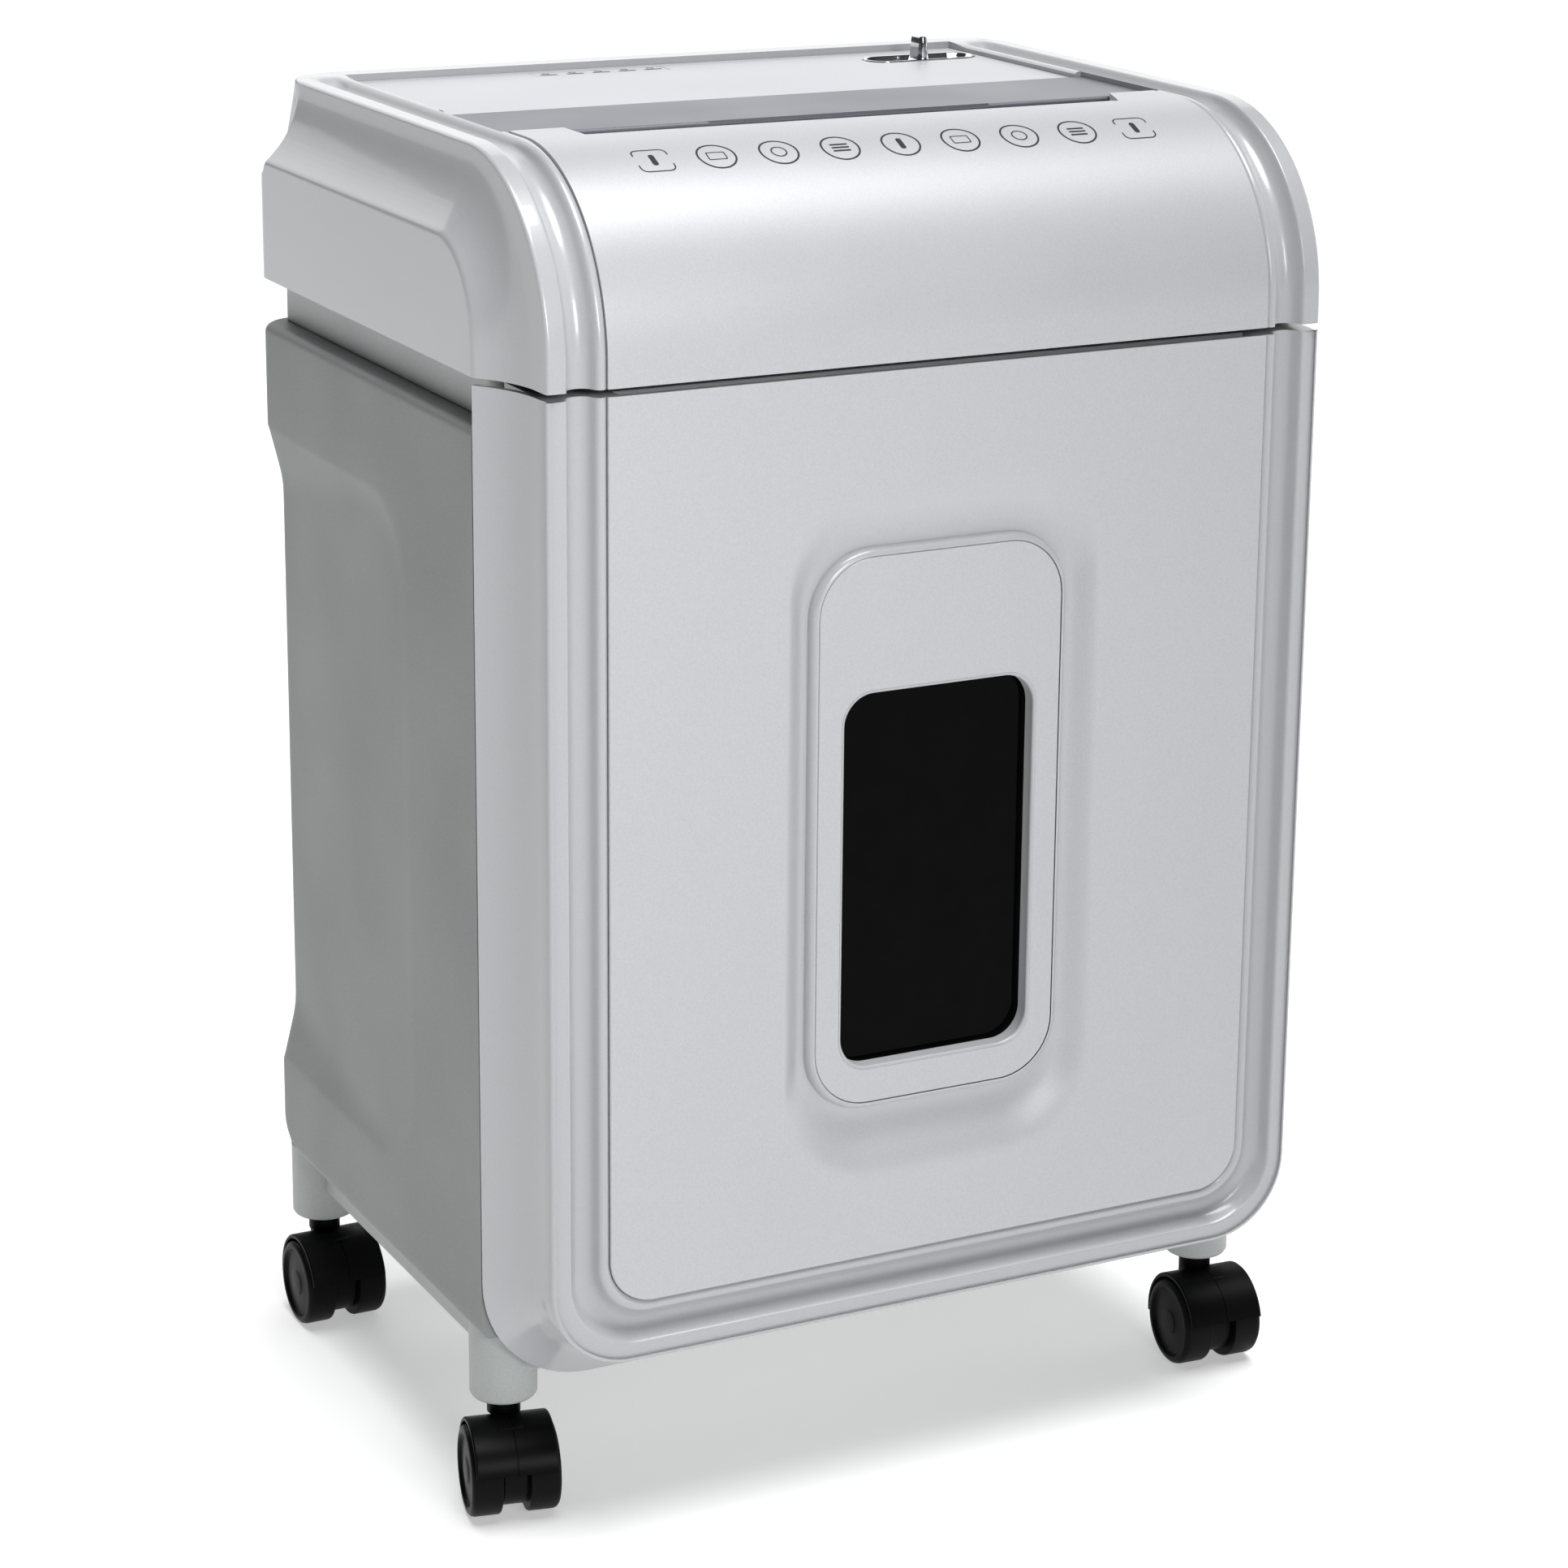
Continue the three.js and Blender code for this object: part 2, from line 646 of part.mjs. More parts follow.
// ---- Head tray: the neck under the head and the pan with the discharge chute -----------
const neckX = halfW - NECK_INSET;
const neckBack = back - 4;
const interlockX = -halfW + 28;
const interlockY = seam + 10;
const interlockZ = parting - 12;
const plungerZ = interlockZ + 4;
const neck = cut(
  extrude(roundRect(-neckX, neckFront, neckX, neckBack, 8, 3), "z", cabinetTop + 0.3, parting - 0.3),
  extrude(
    roundRect(
      -neckX + SHELL_WALL,
      neckFront + SHELL_WALL,
      neckX - SHELL_WALL,
      neckBack - SHELL_WALL,
      6,
      3,
    ),
    "z",
    cabinetTop - 1,
    parting + 1,
  ),
  cylinder("y", interlockX, plungerZ, 3.4, neckFront - 1, neckFront + 6, 12),
);
const cavityX = halfW - SCOOP_DEPTH - CABINET_WALL; // inside of the cabinet's side walls
const panX = cavityX - 1.5;
const panBack = back - CABINET_WALL - 3;
const pan = cut(
  extrude(roundRect(-panX, neckFront, panX, panBack, 12, 3), "z", trayFloor, cabinetTop + 5),
  extrude(
    roundRect(
      -panX + SHELL_WALL,
      neckFront + SHELL_WALL,
      panX - SHELL_WALL,
      panBack - SHELL_WALL,
      12 - SHELL_WALL,
      3,
    ),
    "z",
    trayFloor + SHELL_WALL,
    cabinetTop + 9,
  ),
  box(
    -slotHalf + 6,
    slotHalf - 6,
    slotY - CHUTE_DEPTH / 2,
    slotY + CHUTE_DEPTH / 2,
    trayFloor - 1,
    trayFloor + 9,
  ),
);
const flangeX = halfW - SHELL_WALL - 0.1;
const flange = cut(
  extrude(
    roundRect(-flangeX, neckFront, flangeX, back - SHELL_WALL - 0.1, REAR_CORNER, 3),
    "z",
    parting - 1,
    parting + 2,
  ),
  box(
    -neckX + SHELL_WALL,
    neckX - SHELL_WALL,
    neckFront + SHELL_WALL,
    neckBack - SHELL_WALL,
    parting - 2,
    parting + 3,
  ),
  box(-halfW, halfW, neckFront - 1, neckFront + SHELL_WALL, parting, parting + 3),
);
add("head_tray", join(neck, pan, flange), "silverGrey");

// ---- Cutter block ----------------------------------------------------------------------
const plateFront = frontShaftY - CUTTER_RADIUS - 2;
const idlerY = rearShaftY + ((DRIVE_TEETH + IDLER_SMALL_TEETH) * DRIVE_MODULE) / 2;
const motorY = idlerY + ((IDLER_LARGE_TEETH + PINION_TEETH) * PINION_MODULE) / 2;
const plateBack = motorY + 22;
const bushRadius = JOURNAL_RADIUS + BUSH_WALL;
const gearPinRadius = 4;
const tieRise = CUTTER_RADIUS + 2;
const tieSpots = [
  [frontShaftY - CUTTER_RADIUS + 5, shaftZ + tieRise],
  [frontShaftY - CUTTER_RADIUS + 5, shaftZ - tieRise],
  [rearShaftY + CUTTER_RADIUS + 4, shaftZ - tieRise],
];

function endPlate(side) {
  const x0 = side > 0 ? plateX : -plateX - END_PLATE;
  const x1 = x0 + END_PLATE;
  const rear = side > 0 ? plateBack : rearShaftY + CUTTER_RADIUS + 14;
  const reach = tieRise + 8;
  const outline = [
    [plateFront, shaftZ - reach],
    [rear - 8, shaftZ - reach],
    [rear, shaftZ - reach + 8],
    [rear, shaftZ + reach - 16],
    [rear - 8, shaftZ + reach - 8],
    [rearShaftY + 10, shaftZ + reach],
    [plateFront, shaftZ + reach],
  ];
  const holes = [
    cylinder("x", frontShaftY, shaftZ, bushRadius, x0 - 1, x1 + 1),
    cylinder("x", rearShaftY, shaftZ, bushRadius, x0 - 1, x1 + 1),
  ];
  if (side > 0) {
    holes.push(cylinder("x", motorY, shaftZ, 6, x0 - 1, x1 + 1));
    holes.push(bore("x", idlerY, shaftZ, gearPinRadius, 0, x0 - 1, x1 + 1));
  }
  for (const [y, z] of tieSpots) {
    holes.push(cylinder("x", y, z, TIE_RADIUS - 2, x0 - 1, x1 + 1, 12));
  }
  return cut(extrude(outline, "x", x0, x1), ...holes);
}
add("left_end_plate", endPlate(-1), "steel");
add("right_end_plate", endPlate(1), "steel");

["upper_front", "lower_front", "lower_rear"].forEach((place, i) => {
  const [y, z] = tieSpots[i];
  const rod = join(
    cylinder("x", y, z, TIE_RADIUS, -plateX, plateX, 12),
    cylinder("x", y, z, TIE_RADIUS - 2, -plateX - END_PLATE - 4, plateX + END_PLATE + 4, 12),
  );
  add(`tie_rod_${place}`, rod, "steel");
});

// Discs and spacers stacked along each shaft; the rear stack sits half a pitch along.
const stackHalf = plateX - 4;
const discPitch = (2 * stackHalf - DISC_THICKNESS) / (DISC_COUNT - 0.5);
const gearX0 = plateX + END_PLATE + BUSH_LENGTH / 2 + GEAR_STEP;
const driveX0 = gearX0 + GEAR_WIDTH + GEAR_STEP;
const largeX0 = driveX0 + GEAR_WIDTH + GEAR_STEP;

function cutterShaft(y, shift, reach) {
  const journal = JOURNAL_RADIUS;
  const profile = [
    [0, -plateX - END_PLATE - 5],
    [journal, -plateX - END_PLATE - 5],
    [journal, -stackHalf],
  ];
  for (let i = 0; i < DISC_COUNT; i++) {
    const x0 = -stackHalf + shift * discPitch + i * discPitch;
    profile.push([i === 0 && shift === 0 ? journal : SPACER_RADIUS, x0]);
    profile.push([CUTTER_RADIUS, x0]);
    profile.push([CUTTER_RADIUS, x0 + DISC_THICKNESS]);
    profile.push([SPACER_RADIUS, x0 + DISC_THICKNESS]);
  }
  profile.push([SPACER_RADIUS, stackHalf], [journal, stackHalf], [journal, reach], [0, reach]);
  const clean = profile.filter(
    ([r, x], i) => i === 0 || r !== profile[i - 1][0] || Math.abs(x - profile[i - 1][1]) > 1e-6,
  );
  const lathe = new THREE.LatheGeometry(
    clean.map(([r, x]) => new THREE.Vector2(r, x)),
    12,
  );
  const place = new THREE.Matrix4().set(0, 1, 0, 0, 1, 0, 0, y, 0, 0, -1, shaftZ, 0, 0, 0, 1);
  return solid(lathe.applyMatrix4(place));
}
const frontReach = gearX0 + GEAR_WIDTH + 1;
const rearReach = driveX0 + GEAR_WIDTH + 1;
add("front_cutter_shaft", cutterShaft(frontShaftY, 0, frontReach), "steel");
add("rear_cutter_shaft", cutterShaft(rearShaftY, 0.5, rearReach), "steel");

for (const [place, y] of [["front", frontShaftY], ["rear", rearShaftY]]) {
  for (const [side, sign] of [["left", -1], ["right", 1]]) {
    const inner = sign * (plateX - 2);
    const outer = sign * (plateX - 2 + BUSH_LENGTH);
    const bush = cut(
      cylinder("x", y, shaftZ, bushRadius - 0.02, Math.min(inner, outer), Math.max(inner, outer)),
      bore("x", y, shaftZ, JOURNAL_RADIUS, RUN_CLEARANCE, -halfW, halfW),
    );
    add(`bush_${place}_${side}`, bush, "bronze");
  }
}

// Stripper combs: a bar outside each stack with a finger in every gap between discs.
function comb(y, away, shift) {
  const barNear = y + away * (CUTTER_RADIUS + 1.5);
  const barFar = barNear + away * 4;
  const fingerTip = y + away * (SPACER_RADIUS + 1);
  const parts = [
    box(
      -plateX,
      plateX,
      Math.min(barNear, barFar),
      Math.max(barNear, barFar),
      shaftZ + 2,
      shaftZ + 8,
    ),
  ];
  for (let i = 0; i < DISC_COUNT; i++) {
    const x0 = -stackHalf + (shift + i) * discPitch + DISC_THICKNESS + 1.2;
    const x1 = Math.min(x0 + discPitch - DISC_THICKNESS - 2.4, plateX - 0.5);
    if (x1 - x0 < 1) continue;
    parts.push(
      box(x0, x1, Math.min(fingerTip, barFar), Math.max(fingerTip, barFar), shaftZ + 3, shaftZ + 6),
    );
  }
  return join(...parts);
}
add("comb_front", comb(frontShaftY, -1, 0), "steel");
add("comb_rear", comb(rearShaftY, 1, 0.5), "steel");

// ---- Gear train on the right end plate -------------------------------------------------
const cutterGear = (y, turn) =>
  cut(
    gear(CUTTER_TEETH, CUTTER_MODULE, y, shaftZ, gearX0, gearX0 + GEAR_WIDTH, turn),
    bore("x", y, shaftZ, JOURNAL_RADIUS, PRESS_GAP, gearX0 - 1, gearX0 + GEAR_WIDTH + 2),
  );
add("front_cutter_gear", cutterGear(frontShaftY, 0), "steel");
add("rear_cutter_gear", cutterGear(rearShaftY, 180 + 180 / CUTTER_TEETH), "steel");

const driveGear = cut(
  gear(DRIVE_TEETH, DRIVE_MODULE, rearShaftY, shaftZ, driveX0, driveX0 + GEAR_WIDTH, 0),
  bore("x", rearShaftY, shaftZ, JOURNAL_RADIUS, PRESS_GAP, driveX0 - 1, driveX0 + GEAR_WIDTH + 2),
);
add("drive_gear", driveGear, "nylon");

const largeEnd = largeX0 + GEAR_WIDTH;
const idler = cut(
  join(
    gear(
      IDLER_SMALL_TEETH,
      DRIVE_MODULE,
      idlerY,
      shaftZ,
      driveX0,
      largeX0 + 0.5,
      180 + 180 / IDLER_SMALL_TEETH,
    ),
    gear(IDLER_LARGE_TEETH, PINION_MODULE, idlerY, shaftZ, largeX0, largeEnd, 0),
  ),
  bore("x", idlerY, shaftZ, gearPinRadius, RUN_CLEARANCE, driveX0 - 1, largeEnd + 1),
);
add("idler_gear", idler, "nylon");
add(
  "idler_pin",
  join(
    cylinder("x", idlerY, shaftZ, gearPinRadius, plateX - 1.5, largeEnd + 3),
    cylinder("x", idlerY, shaftZ, 6.5, plateX + END_PLATE, driveX0 - 0.6),
  ),
  "steel",
);

const motorX1 = plateX - 0.3;
const motorX0 = motorX1 - MOTOR_LENGTH;
add(
  "motor_can",
  cut(
    join(
      cylinder("x", motorY, shaftZ, MOTOR_RADIUS, motorX0 + 6, motorX1, 20),
      cylinder("x", motorY, shaftZ, 11, motorX0, motorX0 + 7),
    ),
    bore("x", motorY, shaftZ, MOTOR_SHAFT, RUN_CLEARANCE, motorX0 - 1, motorX1 + 1),
  ),
  "steel",
);
const fanX0 = motorX0 - FAN.gap - FAN.width;
const fanBlades = [];
for (let i = 0; i < FAN.blades; i++) {
  const angle = (i * 2 * Math.PI) / FAN.blades;
  const dy = Math.cos(angle);
  const dz = Math.sin(angle);
  const blade = [
    [FAN.hub - 2, -1],
    [FAN.reach, -1],
    [FAN.reach, 1],
    [FAN.hub - 2, 1],
  ].map(([r, w]) => [motorY + r * dy - w * dz, shaftZ + r * dz + w * dy]);
  fanBlades.push(extrude(blade, "x", fanX0 + 1, fanX0 + FAN.width - 1));
}
const pinionTurn = 180 + 180 / PINION_TEETH;
add(
  "motor_rotor",
  join(
    cylinder("x", motorY, shaftZ, MOTOR_SHAFT, fanX0 - 1, largeX0),
    gear(PINION_TEETH, PINION_MODULE, motorY, shaftZ, largeX0 - 1, largeEnd + 1, pinionTurn),
    cylinder("x", motorY, shaftZ, FAN.hub, fanX0, fanX0 + FAN.width),
    ...fanBlades,
  ),
  "steel",
);

// A cover over the gears, standing on the right end plate.
const gearCoverX0 = plateX + END_PLATE + 0.3;
const gearCoverX1 = largeEnd + 6;
const gearReach = (DRIVE_TEETH * DRIVE_MODULE) / 2 + 3;
const coverOutline = (grow) => [
  [coverFront - grow, shaftZ - CUTTER_CENTRES / 2 - grow],
  [rearShaftY, shaftZ - gearReach - grow],
  [motorY + 8 + grow, shaftZ - gearReach + 2 - grow],
  [motorY + 12 + grow, shaftZ + 20 + grow],
  [idlerY + 10, shaftZ + gearReach + grow],
  [rearShaftY - 8, shaftZ + gearReach + grow],
  [coverFront - grow, shaftZ + CUTTER_CENTRES / 2 + 2 + grow],
];
const tieClear = tieSpots.map(([y, z]) => cylinder("x", y, z, 4, gearCoverX0 - 1, gearX0, 12));
add(
  "gear_cover",
  cut(
    extrude(coverOutline(COVER_WALL), "x", gearCoverX0, gearCoverX1),
    extrude(coverOutline(0), "x", gearCoverX0 - 1, gearCoverX1 - COVER_WALL),
    ...tieClear,
  ),
  "black",
);

// ---- Electrics -------------------------------------------------------------------------
const boardX = motorX0 - BOARD.beside;
const boardY = rearShaftY + BOARD.behind;
const boardZ = shaftZ - 26;
const boardTop = boardZ + BOARD.thickness;
const transformer = box(boardX - 80, boardX - 50, boardY + 6, boardY + 31, boardTop, boardTop + 20.4);
const relay = box(boardX - 40, boardX - 22, boardY + 10, boardY + 36, boardTop, boardTop + 14.4);
const capacitors = [14, 62].map((x) =>
  cylinder("z", boardX - x, boardY + 50, 8, boardTop - 0.1, shaftZ, 16),
);
add(
  "control_board",
  join(
    box(boardX - BOARD.width, boardX, boardY, boardY + BOARD.depth, boardZ, boardTop),
    transformer,
    relay,
    ...capacitors,
  ),
  "board",
);
const sensorY = slotBack + PLATE_WALL;
add(
  "paper_sensor",
  join(
    box(-9, 9, sensorY, sensorY + 6, guideBottom + 2, guideBottom + 14),
    box(-4, 4, sensorY + 5, sensorY + 11, guideBottom + 4, guideBottom + 12),
  ),
  "black",
);
add(
  "safety_switch",
  cut(
    box(interlockX - 8, interlockX + 8, interlockY, interlockY + 26, interlockZ - 3, interlockZ + 12),
    bore("y", interlockX, plungerZ, 2.4, 0.3, interlockY - 1, interlockY + 14, 12),
  ),
  "black",
);
add(
  "interlock_plunger",
  cylinder("y", interlockX, plungerZ, 2.4, seam + PANEL_GAP, interlockY + 9, 12),
  "nylon",
);

// ---- Cabinet ---------------------------------------------------------------------------
// Smooth rise from 0 to 1 between two values.
function ramp(value, from, to) {
  return THREE.MathUtils.smoothstep(value, from, to);
}

const scoopTop = cabinetTop - SCOOP_TOP;
const scoopBottom = CABINET_BOTTOM + SCOOP_BOTTOM;
const scoopFront = back - SCOOP_REACH;

function cabinetRing(z, inset) {
  const low = ramp(z, scoopBottom, scoopBottom + SCOOP_FADE);
  const high = 1 - ramp(z, scoopTop - SCOOP_FADE, scoopTop);
  const depth = SCOOP_DEPTH * low * high;
  const rise = Math.max(0, 1 - (z - CABINET_BOTTOM) / REAR_CORNER);
  const rear = back - inset - REAR_CORNER * rise ** 2;
  const sideX = (y) => halfW - inset - depth * Math.max(0, (y - scoopFront) / SCOOP_REACH) ** 0.8;
  const cornerY = rear - REAR_CORNER;
  const side = [];
  for (const share of [0, 0.06, 0.14, 0.25, 0.4, 0.6, 0.8, 1]) {
    const y = scoopFront + share * (cornerY - scoopFront);
    side.push([sideX(y), y]);
  }
  const cornerX = sideX(cornerY) - REAR_CORNER;
  const half = [
    [halfW - inset, seam],
    ...side,
    ...arc(cornerX, cornerY, REAR_CORNER, REAR_CORNER, 0, 90, 5).slice(1),
  ];
  const mirrored = half.map(([x, y]) => [-x, y]).reverse();
  return [...half, ...mirrored].map(([x, y]) => [x, y, z]);
}

const cabinetLevels = [
  [CABINET_BOTTOM, 4],
  [CABINET_BOTTOM + 2, 1.2],
  [CABINET_BOTTOM + 5, 0],
  [CABINET_BOTTOM + REAR_CORNER, 0],
  ...[0, 0.25, 0.5, 0.75, 1].map((share) => [scoopBottom + share * SCOOP_FADE, 0]),
  ...[1, 0.75, 0.5, 0.25, 0].map((share) => [scoopTop - share * SCOOP_FADE, 0]),
  [cabinetTop - 4, 0],
  [cabinetTop - 1.4, 0.8],
  [cabinetTop, 3],
];
const cabinet = cut(
  loft(cabinetLevels.map(([z, inset]) => cabinetRing(z, inset))),
  extrude(
    roundRect(-cavityX, seam - 20, cavityX, back - CABINET_WALL, REAR_CORNER - CABINET_WALL, 3),
    "z",
    CABINET_BOTTOM + CABINET_WALL,
    cabinetTop + 1,
  ),
);
add("cabinet_shell", cabinet, "silverGrey");

// The base tray under the cabinet, with the four castor legs.
const legs = [];
for (const [end, y] of [["f", front + FRONT_LEG_SETBACK], ["r", back - REAR_LEG_SETBACK]]) {
  for (const [side, sign] of [["l", -1], ["r", 1]]) {
    legs.push({ name: end + side, x: sign * (halfW - LEG_INSET), y });
  }
}
const trayX = halfW - TRAY_INSET;
const trayY0 = seam + 4;
const trayY1 = back - 12;
const baseTray = cut(
  join(
    extrude(roundRect(-trayX, trayY0, trayX, trayY1, 10, 3), "z", TRAY_BOTTOM, CABINET_BOTTOM),
    ...legs.map(({ x, y }) => cylinder("z", x, y, LEG_RADIUS, LEG_BOTTOM, CABINET_BOTTOM, 20)),
  ),
  extrude(
    roundRect(
      -trayX + 2 * LEG_RADIUS,
      trayY0 + SHELL_WALL,
      trayX - 2 * LEG_RADIUS,
      trayY1 - SHELL_WALL,
      7,
      3,
    ),
    "z",
    TRAY_BOTTOM - 1,
    CABINET_BOTTOM - SHELL_WALL,
  ),
  ...legs.map(({ x, y }) =>
    bore("z", x, y, STEM_RADIUS, PRESS_GAP, LEG_BOTTOM - 1, LEG_BOTTOM + 22, 12),
  ),
);
add("base_tray", baseTray, "silverGrey");

// ---- Castors: a pressed-in stem, a swivelling hood on its axle and two separate wheels -
const wheelZ = WHEEL_RADIUS * Math.cos(Math.PI / WHEEL_SIDES); // a flat of the tread faces down
const wheelX0 = HOOD_WEB / 2 + CASTOR_GAP;
const wheelX1 = wheelX0 + WHEEL_WIDTH;
const hoodRadius = WHEEL_RADIUS + 2.6;
const axleHalf = wheelX1 - 3.6;
const pinBottom = 2 * WHEEL_RADIUS - 12;

function castorWheel(sign) {
  const rim = WHEEL_RADIUS;
  const profile = [
    [0, wheelX0],
    [rim, wheelX0],
    [rim, wheelX1 - 2],
    [rim - 2.4, wheelX1],
    [rim - 4.4, wheelX1],
    [rim - 5.4, wheelX1 - 1.2],
    [0, wheelX1 - 0.6],
  ];
  const lathe = new THREE.LatheGeometry(
    profile.map(([r, x]) => new THREE.Vector2(r, x)),
    WHEEL_SIDES,
    Math.PI / WHEEL_SIDES,
  );
  const place = new THREE.Matrix4();
  place.set(0, sign, 0, 0, 1, 0, 0, -CASTOR_TRAIL, 0, 0, 1, wheelZ, 0, 0, 0, 1);
  const hub = [sign * (wheelX0 - 1), sign * (wheelX1 - 3)].sort((a, b) => a - b);
  return cut(
    solid(lathe.applyMatrix4(place)),
    bore("x", -CASTOR_TRAIL, wheelZ, AXLE_RADIUS, RUN_CLEARANCE, hub[0], hub[1], 10),
  );
}

function castorHood() {
  const inner = WHEEL_RADIUS + 1;
  const centreY = -CASTOR_TRAIL;
  const fender = [
    ...arc(centreY, wheelZ, hoodRadius, hoodRadius, -8, 165, 10),
    ...arc(centreY, wheelZ, inner, inner, 165, -8, 10),
  ];
  const web = HOOD_WEB / 2;
  const wheelTop = 2 * WHEEL_RADIUS + 1;
  const post = cylinder("z", 0, 0, NECK_RADIUS, 2 * WHEEL_RADIUS - 8, LEG_BOTTOM - PANEL_GAP);
  return cut(
    join(
      extrude(fender, "x", -wheelX1 + 1.5, wheelX1 - 1.5),
      cylinder("x", centreY, wheelZ, WHEEL_RADIUS - 3.5, -web, web),
      box(-web, web, centreY - 8, 6, WHEEL_RADIUS + 2, wheelTop + 0.4),
      cut(
        post,
        box(-wheelX1, -web, -9, 9, 0, wheelTop),
        box(web, wheelX1, -9, 9, 0, wheelTop),
      ),
      cylinder("x", centreY, wheelZ, AXLE_RADIUS, -axleHalf, axleHalf, 10),
    ),
    bore("z", 0, 0, PIN_RADIUS, RUN_CLEARANCE, pinBottom - 1, LEG_BOTTOM + 1, 10),
  );
}

for (const { name, x, y } of legs) {
  const castor = new THREE.Group();
  castor.position.set(x, y, 0);
  castor.rotation.z = THREE.MathUtils.degToRad(CASTOR_YAW[name]);
  shredder.add(castor);
  const stem = join(
    cylinder("z", 0, 0, STEM_RADIUS, LEG_BOTTOM, LEG_BOTTOM + 21, 12),
    cylinder("z", 0, 0, PIN_RADIUS, pinBottom, LEG_BOTTOM + 1, 10),
  );
  add(`castor_stem_${name}`, stem, "steel", castor);
  add(`castor_hood_${name}`, castorHood(), "black", castor);
  add(`castor_wheel_${name}_left`, castorWheel(-1), "black", castor);
  add(`castor_wheel_${name}_right`, castorWheel(1), "black", castor);
}

// ---- Drawer front ----------------------------------------------------------------------
// An outline in x and z: flat at the top, round at the two bottom corners.
function doorOutline(half, bottom, corner, top, steps = 7) {
  return [
    [-half, top],
    ...arc(-half + corner, bottom + corner, corner, corner, 180, 270, steps),
    ...arc(half - corner, bottom + corner, corner, corner, 270, 360, steps),
    [half, top],
  ];
}

// The rim's outline drawn in by an inset, at the seam's own corner radius.
function rimOutline(inset, top) {
  const corner = DOOR_CORNER - 0.6 * inset;
  return doorOutline(rimX - inset, DOOR_BOTTOM + inset, corner, top);
}

const doorRings = [[front, 0.8, 0], [front + 0.8, 0, 0]];
const coveReach = coveInset(RIM_INSET);
for (const share of [0, 0.32, 0.52, 0.7, 0.84, 0.94, 1]) {
  const s = share * coveReach;
  const out = COVE_RADIUS - Math.sqrt(COVE_RADIUS ** 2 - s ** 2);
  doorRings.push([front + COVE_START + s, -out, out / RIM_INSET]);
}
doorRings.push([seam, -RIM_INSET, 1]);
const doorOuter = loft(
  doorRings.map(([y, inset, skirt]) => {
    const bottom = DOOR_BOTTOM + Math.max(inset, 0) - DOOR_SKIRT * skirt;
    const corner = DOOR_CORNER + 12 * skirt;
    return doorOutline(rimX - inset, bottom, corner, doorTop).map(([x, z]) => [x, y, z]);
  }),
);
const beadIn = RIM_FLAT + GROOVE_WIDTH;
const panelIn = beadIn + BEAD_WIDTH;
const grooveFloor = front + GROOVE_DEPTH;
const groove = cut(
  extrude(rimOutline(RIM_FLAT, doorTop + 1), "y", front - 1, grooveFloor),
  extrude(rimOutline(beadIn, doorTop + 2), "y", front - 2, grooveFloor + 1),
);
const cavityFront = grooveFloor + SHELL_WALL;
const binFront = front + 13;
const bossX = beadX - 4;
const doorCavity = extrude(
  doorOutline(rimX - SHELL_WALL, DOOR_BOTTOM + SHELL_WALL, DOOR_CORNER - SHELL_WALL, doorTop - SHELL_WALL),
  "y",
  cavityFront,
  seam + 1,
);
const plateSeat = front + SHELL_WALL;
const doorBody = cut(
  doorOuter,
  groove,
  doorCavity,
  extrude(rimOutline(panelIn, doorTop + 1), "y", front - 1, plateSeat),
  extrude(rimOutline(panelIn + LEDGE, doorTop - SHELL_WALL), "y", front, cavityFront + 1),
);
const bosses = [];
for (const x of [-bossX, bossX]) {
  for (const z of [DOOR_BOTTOM + 120, doorTop - 120]) {
    bosses.push(box(x - 6, x + 6, cavityFront - 1, binFront, z - 6, z + 6));
  }
}
const strikeTab = box(interlockX - 6, interlockX + 6, seam - 4, seam, plungerZ - 5, doorTop - 1);
add("drawer_front", join(doorBody, ...bosses, strikeTab), "pearl");

// The pocket around the window, as outlines between its edge and the ring.
const pocketTop = doorTop - POCKET.top;
const pocketBottom = DOOR_BOTTOM + POCKET.bottom;
const ringTop = pocketTop - RING.top;
const ringBottom = pocketBottom + RING.bottom;
const pocketFloor = front + POCKET.depth;

function pocketRing(share, y, grow) {
  const mix = (a, b) => THREE.MathUtils.lerp(a, b, share);
  const half = mix(POCKET.half, RING.half + 1) + grow;
  const bottom = mix(pocketBottom, ringBottom - 1) - grow;
  const top = mix(pocketTop, ringTop + 1) + grow;
  const corner = mix(POCKET.corner, RING.corner + 1) + grow;
  return roundRect(-half, bottom, half, top, corner).map(([x, z]) => [x, y, z]);
}

const pocketShape = [
  [0, 0],
  [0.12, 0.08],
  [0.35, 0.42],
  [0.6, 0.78],
  [0.82, 0.96],
  [1, 1],
];
const pocketCut = loft([
  pocketRing(0, front - 1, 0),
  ...pocketShape.map(([share, depth]) => pocketRing(share, front + depth * POCKET.depth, 0)),
]);
const pocketShell = loft([
  pocketRing(0, front + 1, 1.5),
  ...pocketShape.map(([share, depth]) =>
    pocketRing(share, front + depth * POCKET.depth + PLATE_WALL, 1),
  ),
]);
const ringInset = 4;
const frontPlate = cut(
  join(extrude(rimOutline(panelIn + PANEL_GAP, doorTop), "y", front, plateSeat), pocketShell),
  pocketCut,
  extrude(
    roundRect(
      -RING.half + ringInset,
      ringBottom + ringInset,
      RING.half - ringInset,
      ringTop - ringInset,
      RING.corner - ringInset,
    ),
    "y",
    front,
    front + 20,
  ),
);
add("drawer_panel", frontPlate, "satinPearl");

